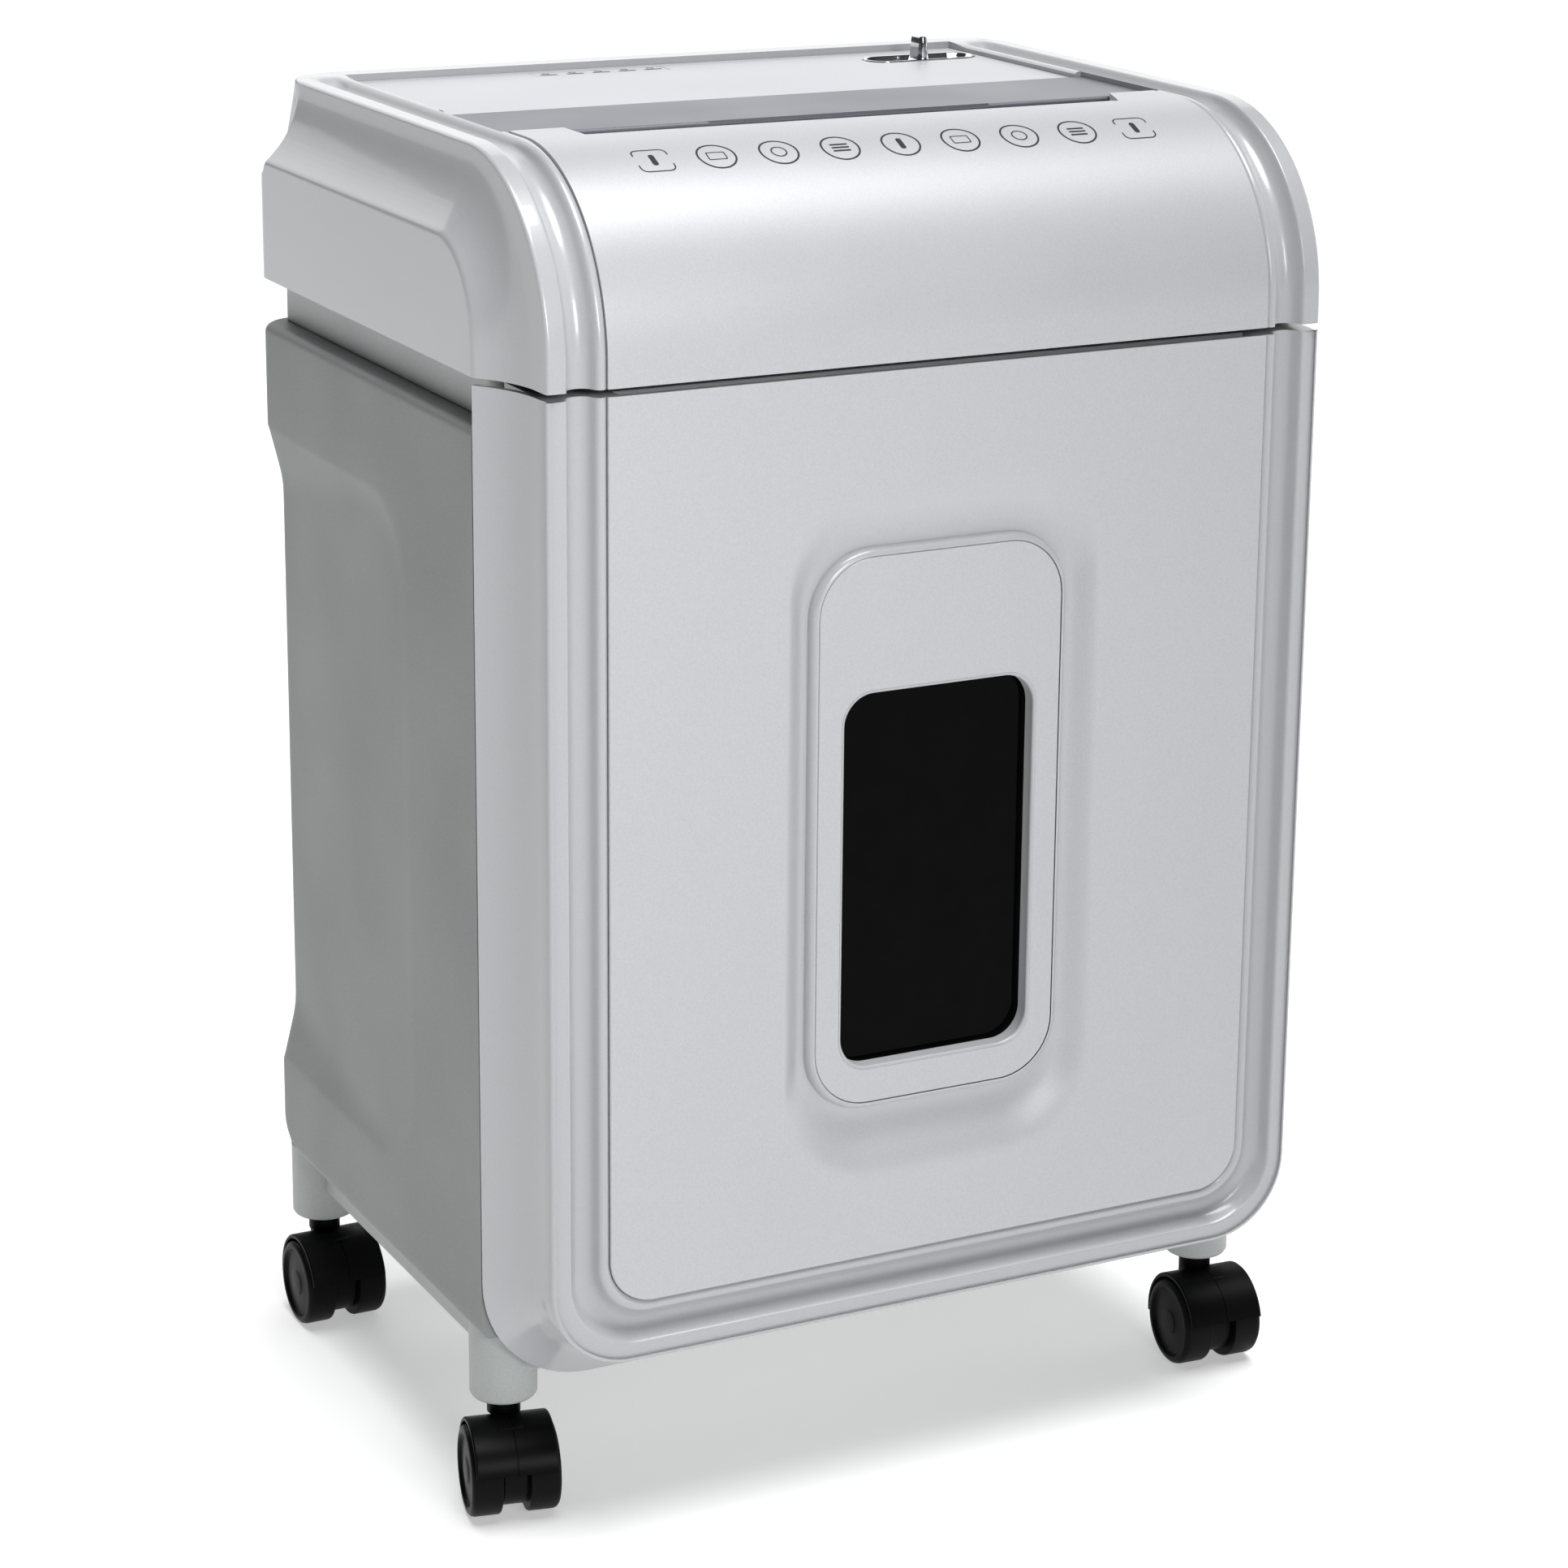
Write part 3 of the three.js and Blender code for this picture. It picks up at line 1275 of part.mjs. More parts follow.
// The raised ring around the window, its flange on the pocket's floor.
function ringOutline(inset) {
  return roundRect(
    -RING.half + inset,
    ringBottom + inset,
    RING.half - inset,
    ringTop - inset,
    RING.corner - inset,
  );
}
function windowOutline(grow) {
  return roundRect(
    -WINDOW.half - grow,
    ringBottom + WINDOW.bottom - grow,
    WINDOW.half + grow,
    ringTop - WINDOW.top + grow,
    WINDOW.corner + grow * 0.5,
  );
}
const ringFront = pocketFloor - RING.rise;
const lensFront = pocketFloor + PLATE_WALL;
const bezelRings = [
  [0, pocketFloor],
  [0.2, ringFront + 2],
  [1.2, ringFront + 0.7],
  [3, ringFront],
];
const bezel = cut(
  join(
    loft(bezelRings.map(([inset, y]) => ringOutline(inset).map(([x, z]) => [x, y, z]))),
    extrude(ringOutline(ringInset + PANEL_GAP), "y", pocketFloor - 0.5, lensFront),
  ),
  extrude(windowOutline(0), "y", front - 1, lensFront + 1),
);
add("window_ring", bezel, "pearl");
add(
  "window_lens",
  extrude(windowOutline(LENS_SEAT), "y", lensFront, lensFront + LENS_WALL),
  "smoke",
);

// ---- Bin, carried on two rails by the flanges under its rim ----------------------------
const binHalf = cavityX - BIN_CLEARANCE;
const binBack = back - CABINET_WALL - BIN_CLEARANCE;
const binBottom = CABINET_BOTTOM + CABINET_WALL + BIN_CLEARANCE;
const binTop = trayFloor - BIN_HEADROOM;
const binCorner = 24;
const flangeZ = binTop - 6;
const railX = binHalf + 1.5;
const binOuter = join(
  extrude(doorOutline(binHalf, binBottom, binCorner, binTop, 5), "y", binFront, binBack),
  box(binHalf - 1, binHalf + 4, seam + 4, binBack, flangeZ, flangeZ + 3),
  box(-binHalf - 4, -binHalf + 1, seam + 4, binBack, flangeZ, flangeZ + 3),
);
const bin = cut(
  binOuter,
  extrude(
    doorOutline(
      binHalf - BIN_WALL,
      binBottom + BIN_WALL,
      binCorner - BIN_WALL,
      binTop + 1,
      5,
    ),
    "y",
    binFront + BIN_WALL,
    binBack - BIN_WALL,
  ),
);
add("bin", bin, "black");
for (const [side, sign] of [["left", -1], ["right", 1]]) {
  const [x0, x1] = [sign * railX, sign * cavityX].sort((a, b) => a - b);
  const railBack = back - REAR_CORNER;
  const rail = box(x0, x1, seam + 4, railBack, flangeZ - RAIL_SIZE, flangeZ - PANEL_GAP);
  add(`${side}_rail`, rail, "steel");
}

export default shredder;
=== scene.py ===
import json
import math

import bmesh
import bpy
from mathutils import Matrix, Vector


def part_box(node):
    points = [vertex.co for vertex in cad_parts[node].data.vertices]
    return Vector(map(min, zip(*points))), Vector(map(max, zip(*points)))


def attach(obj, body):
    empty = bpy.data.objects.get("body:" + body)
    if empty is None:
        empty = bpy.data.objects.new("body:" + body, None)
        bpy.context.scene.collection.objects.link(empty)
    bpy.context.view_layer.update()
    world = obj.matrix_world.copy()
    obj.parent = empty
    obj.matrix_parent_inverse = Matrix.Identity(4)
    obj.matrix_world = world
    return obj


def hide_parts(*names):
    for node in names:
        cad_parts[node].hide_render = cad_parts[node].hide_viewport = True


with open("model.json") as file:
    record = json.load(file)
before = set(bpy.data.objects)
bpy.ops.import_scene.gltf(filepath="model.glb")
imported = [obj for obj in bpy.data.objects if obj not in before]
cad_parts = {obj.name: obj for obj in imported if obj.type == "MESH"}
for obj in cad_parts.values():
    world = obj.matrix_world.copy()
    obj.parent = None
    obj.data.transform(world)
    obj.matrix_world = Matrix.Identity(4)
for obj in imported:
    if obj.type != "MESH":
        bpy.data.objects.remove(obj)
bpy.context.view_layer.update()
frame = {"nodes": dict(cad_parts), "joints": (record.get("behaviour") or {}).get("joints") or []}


# ---- Studio ------------------------------------------------------------------------------
# A long lens looks down on the shredder from the front left. Most of the light is a broad
# glow from overhead. A wide box stands behind, a tall strip at the right, and a small one
# with a grid in front, for the arc of the lid.
scene = bpy.context.scene
scene.view_settings.view_transform = "Standard"


def place(data, name):
    """Puts new object data into the scene."""
    placed = bpy.data.objects.new(name, data)
    scene.collection.objects.link(placed)
    return placed


yaw = math.radians(-26.88)
pitch = math.radians(15.28)
roll = math.radians(0.49)
aim = Vector((0.0001, 0, 0.3284))
distance = 1.743
backward = Vector((math.sin(yaw) * math.cos(pitch), -math.cos(yaw) * math.cos(pitch), math.sin(pitch)))
level = Vector((math.cos(yaw), math.sin(yaw), 0))
upward = backward.cross(level)
right = level * math.cos(roll) + upward * math.sin(roll)
lens = bpy.data.cameras.new("camera")
lens.lens = 94.25
lens.shift_y = -0.0963
camera = place(lens, "camera")
camera.matrix_world = Matrix.Translation(aim + backward * distance) @ Matrix(
    (right, backward.cross(right), backward)
).transposed().to_4x4()
scene.camera = camera


def soft_box(name, position, aimed_at, width, height, watts, spread=180):
    """A rectangular area light that faces a point; the spread is that of its grid, in degrees."""
    light = bpy.data.lights.new(name, "AREA")
    light.shape = "RECTANGLE"
    light.size = width
    light.size_y = height
    light.energy = watts
    light.spread = math.radians(spread)
    lamp = place(light, name)
    lamp.location = position
    lamp.rotation_mode = "QUATERNION"
    lamp.rotation_quaternion = (Vector(aimed_at) - Vector(position)).to_track_quat("-Z", "Y")


soft_box("key_front", (-0.17, -1.7, 1.0), (-0.3, -0.14, 0.47), 0.6, 0.6, 1.25, 45)
soft_box("strip_right", (1.2, -0.12, 0.5), (0.1, 0, 0.3), 0.4, 1.3, 2)
soft_box("back_wide", (0.35, 2.1, 1.45), (0, 0, 0.55), 3.2, 1.5, 21)
sky = bpy.data.lights.new("overhead", "SUN")
sky.angle = math.radians(40)
sky.energy = 3.6
overhead = place(sky, "overhead")
overhead.rotation_mode = "QUATERNION"
overhead.rotation_quaternion = Vector((0.07, -0.14, 0.98)).to_track_quat("Z", "Y")


def linear(colour):
    """An sRGB hex colour as linear red, green, blue and alpha."""
    channels = [int(colour[i : i + 2], 16) / 255 for i in (1, 3, 5)]
    return [c / 12.92 if c <= 0.04045 else ((c + 0.055) / 1.055) ** 2.4 for c in channels] + [1]


def add_node(material, kind, settings, links):
    """Adds a node: settings by socket or property, and links as {socket: (node, output)}."""
    node = material.node_tree.nodes.new(kind)
    for name, value in settings.items():
        if name == "ramp":
            for stop, (position, colour) in zip(node.color_ramp.elements, value):
                stop.position = position
                stop.color = colour
        elif name in node.inputs:
            node.inputs[name].default_value = value
        else:
            setattr(node, name, value)
    for name, (source, output) in links.items():
        material.node_tree.links.new(source.outputs[output], node.inputs[name])
    return node


def new_material(name):
    """A material and its surface shader."""
    material = bpy.data.materials.new(name)
    material.use_nodes = True
    return material, material.node_tree.nodes["Principled BSDF"]


world = bpy.data.worlds.new("white_room")
world.use_nodes = True
world.node_tree.nodes["Background"].inputs["Color"].default_value = linear("#fbfcff")
world.node_tree.nodes["Background"].inputs["Strength"].default_value = 0.05
scene.world = world

# Seamless paper: matt, with the faint tooth of its fibres. It glows a little, and more within a quarter
# metre of the middle: painted light that lifts the shadow under the shredder.
paper, paper_shader = new_material("seamless_paper")
paper_place = add_node(paper, "ShaderNodeTexCoord", {}, {})
paper_tooth = add_node(
    paper, "ShaderNodeTexNoise", {"Scale": 600.0, "Detail": 3.0}, {"Vector": (paper_place, "Object")}
)
paper_white = add_node(
    paper,
    "ShaderNodeValToRGB",
    {"ramp": [(0.3, linear("#d6d6d6")), (0.7, linear("#dadada"))]},
    {"Fac": (paper_tooth, "Fac")},
)
paper.node_tree.links.new(paper_white.outputs["Color"], paper_shader.inputs["Base Color"])
paper_shader.inputs["Roughness"].default_value = 0.95
paper_shader.inputs["Specular IOR Level"].default_value = 0.1
paper_shader.inputs["Emission Color"].default_value = linear("#ffffff")
# Painted light: the paper's glow rises towards the middle to lighten the shadow cast by the shredder.
shadow_lift_reach = add_node(
    paper, "ShaderNodeTexGradient", {"gradient_type": "SPHERICAL"}, {"Vector": (paper_place, "Object")}
)
painted_shadow_lift = add_node(
    paper,
    "ShaderNodeMapRange",
    {"From Min": 0.25, "From Max": 0.75, "To Min": 0.3, "To Max": 0.4},
    {"Value": (shadow_lift_reach, "Fac")},
)
paper.node_tree.links.new(painted_shadow_lift.outputs["Result"], paper_shader.inputs["Emission Strength"])
sweep_mesh = bpy.data.meshes.new("paper_sweep")
reach = 12
sweep_mesh.from_pydata(
    [(-reach, -reach, 0), (reach, -reach, 0), (reach, reach, 0), (-reach, reach, 0)], [], [(0, 1, 2, 3)]
)
sweep_mesh.materials.append(paper)
sweep = place(sweep_mesh, "paper_sweep")


# ---- Head cover --------------------------------------------------------------------------
# The lid casing: one injection moulding in pearl-lacquered ABS, about 3 mm thick. Each side
# sweeps in through a cove to a flat glossy rim, a rounded groove and a slim bead, and all
# of them run up the front, over the arc and back to the rear rim. It drops on the tray.
MM = 0.001


def extent(node):
    """Lowest and highest corner of a CAD node, in millimetres."""
    return [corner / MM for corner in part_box(node)]


def arc(u, v, ru, rv, start, end, steps):
    """Points on a round or oval arc, from one angle in degrees to another."""
    turns = [math.radians(start + (end - start) * i / steps) for i in range(steps + 1)]
    return [(u + ru * math.cos(turn), v + rv * math.sin(turn)) for turn in turns]


def smooth_step(value, start, end):
    """A smooth rise from 0 to 1 between two values."""
    share = min(1.0, max(0.0, (value - start) / (end - start)))
    return share * share * (3 - 2 * share)


def through(points, steps):
    """A smooth line through points, each stretch in so many steps."""
    ends = [points[0], *points, points[-1]]
    line = []
    for a, b, c, d in zip(ends, ends[1:], ends[2:], ends[3:]):
        for i in range(steps):
            t = i / steps
            line.append(
                tuple(
                    0.5 * (2 * q + (r - p) * t + (2 * p - 5 * q + 4 * r - s) * t**2
                           + (3 * q - p - 3 * r + s) * t**3)
                    for p, q, r, s in zip(a, b, c, d)
                )
            )
    return [*line, points[-1]]


def build(name, points, faces):
    """A mesh object from points in millimetres."""
    mesh = bpy.data.meshes.new(name)
    mesh.from_pydata([Vector(point) * MM for point in points], [], faces)
    return place(mesh, name)


def loft(name, rings):
    """A closed solid through rings of points."""
    count = len(rings[0])
    faces = [
        (r * count + i, r * count + (i + 1) % count, (r + 1) * count + (i + 1) % count, (r + 1) * count + i)
        for r in range(len(rings) - 1)
        for i in range(count)
    ]
    faces.append(tuple(reversed(range(count))))
    faces.append(tuple(range((len(rings) - 1) * count, len(rings) * count)))
    return turned_out(build(name, [point for ring in rings for point in ring], faces))


def turned_out(solid):
    """Turns every face of a closed solid outward."""
    shape = bmesh.new()
    shape.from_mesh(solid.data)
    bmesh.ops.recalc_face_normals(shape, faces=shape.faces)
    if shape.calc_volume(signed=True) < 0:
        bmesh.ops.reverse_faces(shape, faces=shape.faces)
    shape.to_mesh(solid.data)
    shape.free()
    return solid


def prism(outline, axis, start, end):
    """An outline pushed along an axis: its points are (y, z), (x, z) or (x, y)."""
    lift = {
        "x": lambda u, v, w: (w, u, v),
        "y": lambda u, v, w: (u, w, v),
        "z": lambda u, v, w: (u, v, w),
    }[axis]
    return loft("tool", [[lift(u, v, w) for u, v in outline] for w in (start, end)])


def block(x0, x1, y0, y1, z0, z1):
    """A box between two corners."""
    return prism([(x0, y0), (x1, y0), (x1, y1), (x0, y1)], "z", z0, z1)


def settle(solid):
    """Replaces an object's mesh by what its modifiers make of it."""
    evaluated = solid.evaluated_get(bpy.context.evaluated_depsgraph_get())
    made = bpy.data.meshes.new_from_object(evaluated)
    solid.modifiers.clear()
    solid.data = made
    return solid


def combine(solid, operation, tools):
    """Applies each tool to a solid in turn and throws the tool away."""
    for tool in tools:
        step = solid.modifiers.new("step", "BOOLEAN")
        step.operation = operation
        step.solver = "MANIFOLD"
        step.object = tool
        settle(solid)
        bpy.data.objects.remove(tool)
    return solid


def carve(solid, *tools):
    return combine(solid, "DIFFERENCE", tools)


def weld(solid, *tools):
    return combine(solid, "UNION", tools)


def ease(solid, width, angle=40, segments=2):
    """Rounds the sharp edges of a solid by a width in millimetres."""
    step = solid.modifiers.new("ease", "BEVEL")
    step.width = width * MM
    step.segments = segments
    step.limit_method = "ANGLE"
    step.angle_limit = math.radians(angle)
    step.use_clamp_overlap = True
    return settle(solid)


def dress(solid, name, material, body, slot, *nodes, sharp=34):
    """Names a finished piece, shades it, and ties it to its body and CAD nodes; its slot is not used."""
    solid.name = name
    solid.data.name = name
    solid.data.materials.clear()
    solid.data.materials.append(material)
    solid.data.shade_smooth()
    solid.data.set_sharp_from_angle(angle=math.radians(sharp))
    flatten = solid.modifiers.new("flat_faces_lead", "WEIGHTED_NORMAL")
    flatten.keep_sharp = True
    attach(solid, body)
    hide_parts(*nodes)
    return solid


def moulded(name, light, dark, grain, roughness, spread, relief, finish=None):
    """A solid stock with its grain in millimetres: mottle, gloss and relief, then its finish."""
    material, shader = new_material(name)
    spot = add_node(material, "ShaderNodeTexCoord", {}, {})
    fine = add_node(
        material, "ShaderNodeTexNoise", {"Scale": 1000 / grain, "Detail": 2.0}, {"Vector": (spot, "Object")}
    )
    broad = add_node(
        material, "ShaderNodeTexNoise", {"Scale": 1000 / 60, "Detail": 1.0}, {"Vector": (spot, "Object")}
    )
    colour = add_node(
        material,
        "ShaderNodeValToRGB",
        {"ramp": [(0.3, linear(dark)), (0.7, linear(light))]},
        {"Fac": (fine, "Fac")},
    )
    gloss = add_node(
        material,
        "ShaderNodeMapRange",
        {"From Min": 0.3, "From Max": 0.7, "To Min": roughness - spread, "To Max": roughness + spread},
        {"Value": (broad, "Fac")},
    )
    bump = add_node(
        material, "ShaderNodeBump", {"Strength": 1.0, "Distance": relief * MM}, {"Height": (fine, "Fac")}
    )
    material.node_tree.links.new(colour.outputs["Color"], shader.inputs["Base Color"])
    material.node_tree.links.new(gloss.outputs["Result"], shader.inputs["Roughness"])
    material.node_tree.links.new(bump.outputs["Normal"], shader.inputs["Normal"])
    for socket, value in (finish or {}).items():
        shader.inputs[socket].default_value = value
    return material


# Gloss pearl lacquer on ABS: a clear coat gives sharp highlights over a soft silvery white.
pearl_gloss = moulded(
    "pearl_lacquer_gloss", "#b9babd", "#b3b4b7", 0.5, 0.3, 0.015, 0.002,
    {"Metallic": 0.08, "Specular IOR Level": 0.25, "Coat Weight": 0.35, "Coat Roughness": 0.06},
)

low, high = extent("head_cover")
half_width, front, back = high.x, low.y, high.y
parting, top = low.z, high.z
head_arc = 75
rim_x = half_width - 12.5
groove_x = rim_x - 8
bead_x = groove_x - 12
panel_x = bead_x - 4.6
cove_radius = 53
cove_start = 7
rear_rim = 14
rear_corner = 14
shell = 3


def cove_inset(out):
    """How far the cove has fallen away at a distance out from the rim."""
    return math.sqrt(cove_radius**2 - (cove_radius - out) ** 2)


# From the rim inward: flat band, groove and bead, as distance in from the rim and depth.
bead_line = through(
    [(7.2, 0), (8.1, 0.45), (9.4, 3.2), (11.2, 5.6), (14, 6.5), (16.8, 6.1), (19, 4.3), (20.2, 1.8),
     (21.2, 0.55), (22.4, 0.2), (23.6, 0.45), (24.6, 1.3)],
    3,
)


def rear_round(x, side_x, radius):
    """How far an upright rear corner draws in at x."""
    into = min(radius, max(0, x - (side_x - radius)))
    return radius - math.sqrt(radius**2 - into**2)


def rim_rear(x):
    """How far the top's rear edge draws in at x: the rim's corner, fading out down the cove."""
    if x < rim_x:
        return rear_round(x, rim_x, rim_x - panel_x)
    share = (x - rim_x) / (half_width - rim_x)
    return (rim_x - panel_x) * (1 - share) + rear_corner * share


side_out = half_width - rim_x
side_inset = cove_inset(side_out)
rear_edge = 3
basin_fade = 18


def head_ring(x, inset, lead, rear, top_rear, wall=0, basin=False):
    """The head's outline at x, from the rear bottom edge over the top to the front; a basin
    fades out before the rear rim."""
    bottom = parting - wall
    points = [(back - rear, bottom), (back - rear, top - side_inset - wall - 6)]
    fade_from = back - rear_rim - basin_fade
    rest = 0.0 if basin else inset
    points += arc(back - top_rear - rear_edge, top - rest - rear_edge, rear_edge, rear_edge, 0, 90, 5)
    for i in range(1, 13):
        y = min(back - rear_rim - 20 * i / 12 + 1, back - top_rear - rear_edge - 0.1 * i)
        kept = 1 - smooth_step(y, fade_from, back - rear_rim)
        points.append((y, top - (inset * kept if basin else inset)))
    points += arc(front + head_arc, top - head_arc, head_arc - lead, head_arc - inset, 90, 180, 36)
    points.append((front + lead, bottom))
    return [(x, y, z) for y, z in points]


def mirrored(rings):
    """The same outlines for the other side, from the middle out."""
    return [[(-x, y, z) for x, y, z in ring] for ring in reversed(rings)]


# The cove meets the upright side in a bend of its own, a little below where the two cross.
bend = 1.9
bend_out = side_out - bend * side_inset / cove_radius
cove_turn = math.asin(side_inset / cove_radius)
xs = [rim_x + cove_radius * (1 - math.cos(cove_turn * i / 14)) for i in range(2, 14)]
xs += [half_width - rear_corner * (1 - math.sin(math.radians(a))) for a in range(30, 91, 5)]
stations = []
for x in sorted(set(round(x, 3) for x in xs if x > rim_x + 0.2), reverse=True):
    inset = cove_inset(x - rim_x)
    if x - rim_x > bend_out:
        turn = 1 - math.sqrt(max(0.0, 1 - (x - rim_x - bend_out) / (side_out - bend_out)))
        inset = (1 - turn) ** 2 * cove_inset(bend_out) + 2 * turn * (1 - turn) * side_inset
        inset += turn**2 * (side_inset + bend)
    stations.append((x, inset, inset + cove_start, False))
for u, v in arc(rim_x - 1.5, 1.5, 1.5, -1.5, 0, 90, 5):
    stations.append((u, v, v, False))
stations += [(rim_x - into, 0, 0, False) for into in (2.2, 3.2, 4.4, 5.8)]
stations += [(rim_x - into, depth, depth, True) for into, depth in bead_line]
rings = [
    head_ring(x, inset, lead, rear_round(x, half_width, rear_corner), rim_rear(x), 0, basin)
    for x, inset, lead, basin in stations
]
head_cover = loft("head_cover_shell", [*rings, *mirrored(rings)])
groove_deep = 6.5
deep = groove_deep + shell
inner = [
    (half_width - shell, side_inset + shell, side_inset + shell + cove_start),
    (half_width - shell - 3, side_inset, side_inset + cove_start),
    (rim_x + shell, cove_inset(8) + shell, cove_inset(8) + cove_start + shell),
    (rim_x - 1, deep, deep),
    (groove_x - 4, deep, deep),
    (panel_x, deep, deep),
]
rings = [
    head_ring(
        x, inset, lead, shell + rear_round(x, half_width - shell, rear_corner - shell),
        shell + rim_rear(x + shell if x > rim_x else x), shell,
    )
    for x, inset, lead in inner
]
trim_low, trim_high = extent("throat_trim")
deck_low, deck_high = extent("top_deck")
dish_low, dish_high = extent("switch_dish")
inlet_low, inlet_high = extent("cord_inlet")
gap = 0.3
trim_under = trim_high.z - 2.5
inner_arc = head_arc - shell
rebate = [
    (back - rear_rim, top + 2),
    (front - 2, top + 2),
    (front - 2, parting - 1),
    (front + shell, parting - 1),
    *arc(front + head_arc, top - head_arc, inner_arc, inner_arc, 180, 90, 24),
    (trim_low.y - gap, top - shell),
    (trim_low.y - gap, trim_under),
    (trim_high.y + gap, trim_under),
    (trim_high.y + gap, deck_low.z),
    (back - rear_rim, deck_low.z),
]
carve(
    head_cover,
    loft("tool", [*rings, *mirrored(rings)]),
    prism(rebate, "x", -panel_x, panel_x),
    block(-panel_x + 6, panel_x - 6, front - 1, back - rear_rim - 6, parting - 1, top + 1),
    block(
        trim_low.x - gap, trim_high.x + gap, trim_low.y - gap, trim_high.y + gap, trim_under, top + 1
    ),
    block(dish_low.x - 1, dish_high.x + 1, dish_low.y - 1, dish_high.y + 1, deck_low.z - 20, top + 1),
)
inlet_x = (inlet_low.x + inlet_high.x) / 2
inlet_z = (inlet_low.z + inlet_high.z) / 2
carve(head_cover, prism(arc(inlet_x, inlet_z, 6, 6, 0, 352.5, 47), "y", back - 20, back + 1))
dress(head_cover, "head_cover_shell", pearl_gloss, "cabinet", "pearl_gloss", "head_cover")


# ---- Head front panel --------------------------------------------------------------------
# A satin pearl skin, 3 mm ABS, that snaps into the rebate between the beads and wraps from
# the parting line over the arc to the paper throat, where a shallow ramp leads paper in.

# Satin pearl lacquer: fine metallic flake, broad soft highlights.
pearl_satin = moulded(
    "pearl_lacquer_satin", "#c1c2c5", "#b8b9bd", 0.6, 0.42, 0.02, 0.004, {"Metallic": 0.25}
)

panel_side = panel_x - gap
ramp_back = trim_low.y - gap
ramp_front = ramp_back - 22
slot_half = trim_high.x - 25
centre_y, centre_z = front + head_arc, top - head_arc
skin = [
    (ramp_back, top),
    *arc(centre_y, centre_z, head_arc, head_arc, 90, 180, 48),
    (front, parting),
    (front + shell, parting),
    *arc(centre_y, centre_z, inner_arc, inner_arc, 180, 90, 48),
    (ramp_back, top - shell),
]
front_panel = prism(skin, "x", -panel_side, panel_side)
ramp_depth = 3.4
ramp_under = loft(
    "tool",
    [
        [(-slot_half - shell, y, z), (slot_half + shell, y, z),
         (slot_half + shell, y, z - shell), (-slot_half - shell, y, z - shell)]
        for y, z in ((ramp_front - 2, top - 2), (ramp_back, top - ramp_depth))
    ],
)
guide_bottom = trim_low.z
ramp_cut = loft(
    "tool",
    [
        [(-slot_half + 1, y, top + 1), (slot_half - tuck, y, top + 1),
         (slot_half - tuck, y, z), (-slot_half + 1, y, z)]
        for y, z, tuck in ((ramp_front, top - 0.05, 8), (ramp_back + 1, top - ramp_depth, -1))
    ],
)
weld(
    front_panel,
    ramp_under,
    block(-slot_half, slot_half, ramp_back - 2.5, ramp_back, guide_bottom, top - ramp_depth - 1),
)
carve(front_panel, ramp_cut)
ease(front_panel, 0.35)
dress(front_panel, "head_front_skin", pearl_satin, "cabinet", "pearl_satin", "head_front_panel")

# Pad-printed marks on the arc: plain rings and squares with simple shapes, in black ink.
ink = moulded("pad_print_ink", "#1a1a1c", "#101012", 0.3, 0.5, 0.05, 0.002)


def on_arc(x, along):
    """A point on the printed film over the arc; along runs forward from the top."""
    turn = along / head_arc
    lift = head_arc + 0.04
    return (x, centre_y - lift * math.sin(turn), centre_z + lift * math.cos(turn))


def printed(outer, inner, onto):
    """A thin closed film between two outlines, or inside one."""
    thick = 0.03
    rings = [outer] if inner is None else [outer, inner]
    count = len(outer)
    points = []
    for ring in rings:
        points += [onto(u, v, 0) for u, v in ring]
        points += [onto(u, v, thick) for u, v in ring]
    faces = []
    for i in range(count):
        j = (i + 1) % count
        faces.append((i, j, count + j, count + i))
        if inner is not None:
            faces.append((2 * count + j, 2 * count + i, 3 * count + i, 3 * count + j))
            faces.append((count + i, count + j, 3 * count + j, 3 * count + i))
            faces.append((j, i, 2 * count + i, 2 * count + j))
    if inner is None:
        faces.append(tuple(reversed(range(count))))
        faces.append(tuple(range(count, 2 * count)))
    return points, faces


def rounded(u0, v0, u1, v1, radius, steps=6):
    """A rectangle with round corners."""
    return [
        *arc(u1 - radius, v0 + radius, radius, radius, -90, 0, steps),
        *arc(u1 - radius, v1 - radius, radius, radius, 0, 90, steps),
        *arc(u0 + radius, v1 - radius, radius, radius, 90, 180, steps),
        *arc(u0 + radius, v0 + radius, radius, radius, 180, 270, steps),
    ]


def gather(name, films):
    """One mesh object from several lists of points and faces."""
    points = []
    faces = []
    for more_points, more_faces in films:
        faces += [tuple(index + len(points) for index in face) for face in more_faces]
        points += more_points
    return turned_out(build(name, points, faces))


mark_pitch = 26.6
mark_along = 32.5
films = []
for i in range(9):
    u = (i - 4) * mark_pitch

    def onto(across, along, lift, u=u):
        x, y, z = on_arc(u + across, mark_along + along)
        away = Vector((0, y - centre_y, z - centre_z)).normalized() * lift
        return (x, y + away.y, z + away.z)

    if i in (0, 8):
        films.append(printed(rounded(-7.5, -7.5, 7.5, 7.5, 3), rounded(-6.9, -6.9, 6.9, 6.9, 2.4), onto))
    else:
        films.append(printed(arc(0, 0, 8.2, 8.2, 0, 352.5, 47), arc(0, 0, 7.4, 7.4, 0, 352.5, 47), onto))
    glyph = i % 4
    if glyph == 0:
        films.append(printed(rounded(-1.2, -3.6, 1.2, 3.6, 1.1), None, onto))
    if glyph == 1:
        films.append(printed(rounded(-4, -2.6, 4, 2.6, 0.8), rounded(-3.5, -2.1, 3.5, 2.1, 0.4), onto))
    if glyph == 2:
        films.append(printed(arc(0, 0, 3.4, 3.4, 0, 345, 23), arc(0, 0, 2.8, 2.8, 0, 345, 23), onto))
    if glyph == 3:
        films.append(printed(rounded(-3.8, -0.5, 3.8, 0.5, 0.4), None, onto))
        films.append(printed(rounded(-3.8, 1.6, 3.8, 2.6, 0.4), None, onto))
        films.append(printed(rounded(-3.8, -2.6, 3.8, -1.6, 0.4), None, onto))
marks = gather("printed_marks", films)
marks.data.materials.append(ink)
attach(marks, "cabinet")


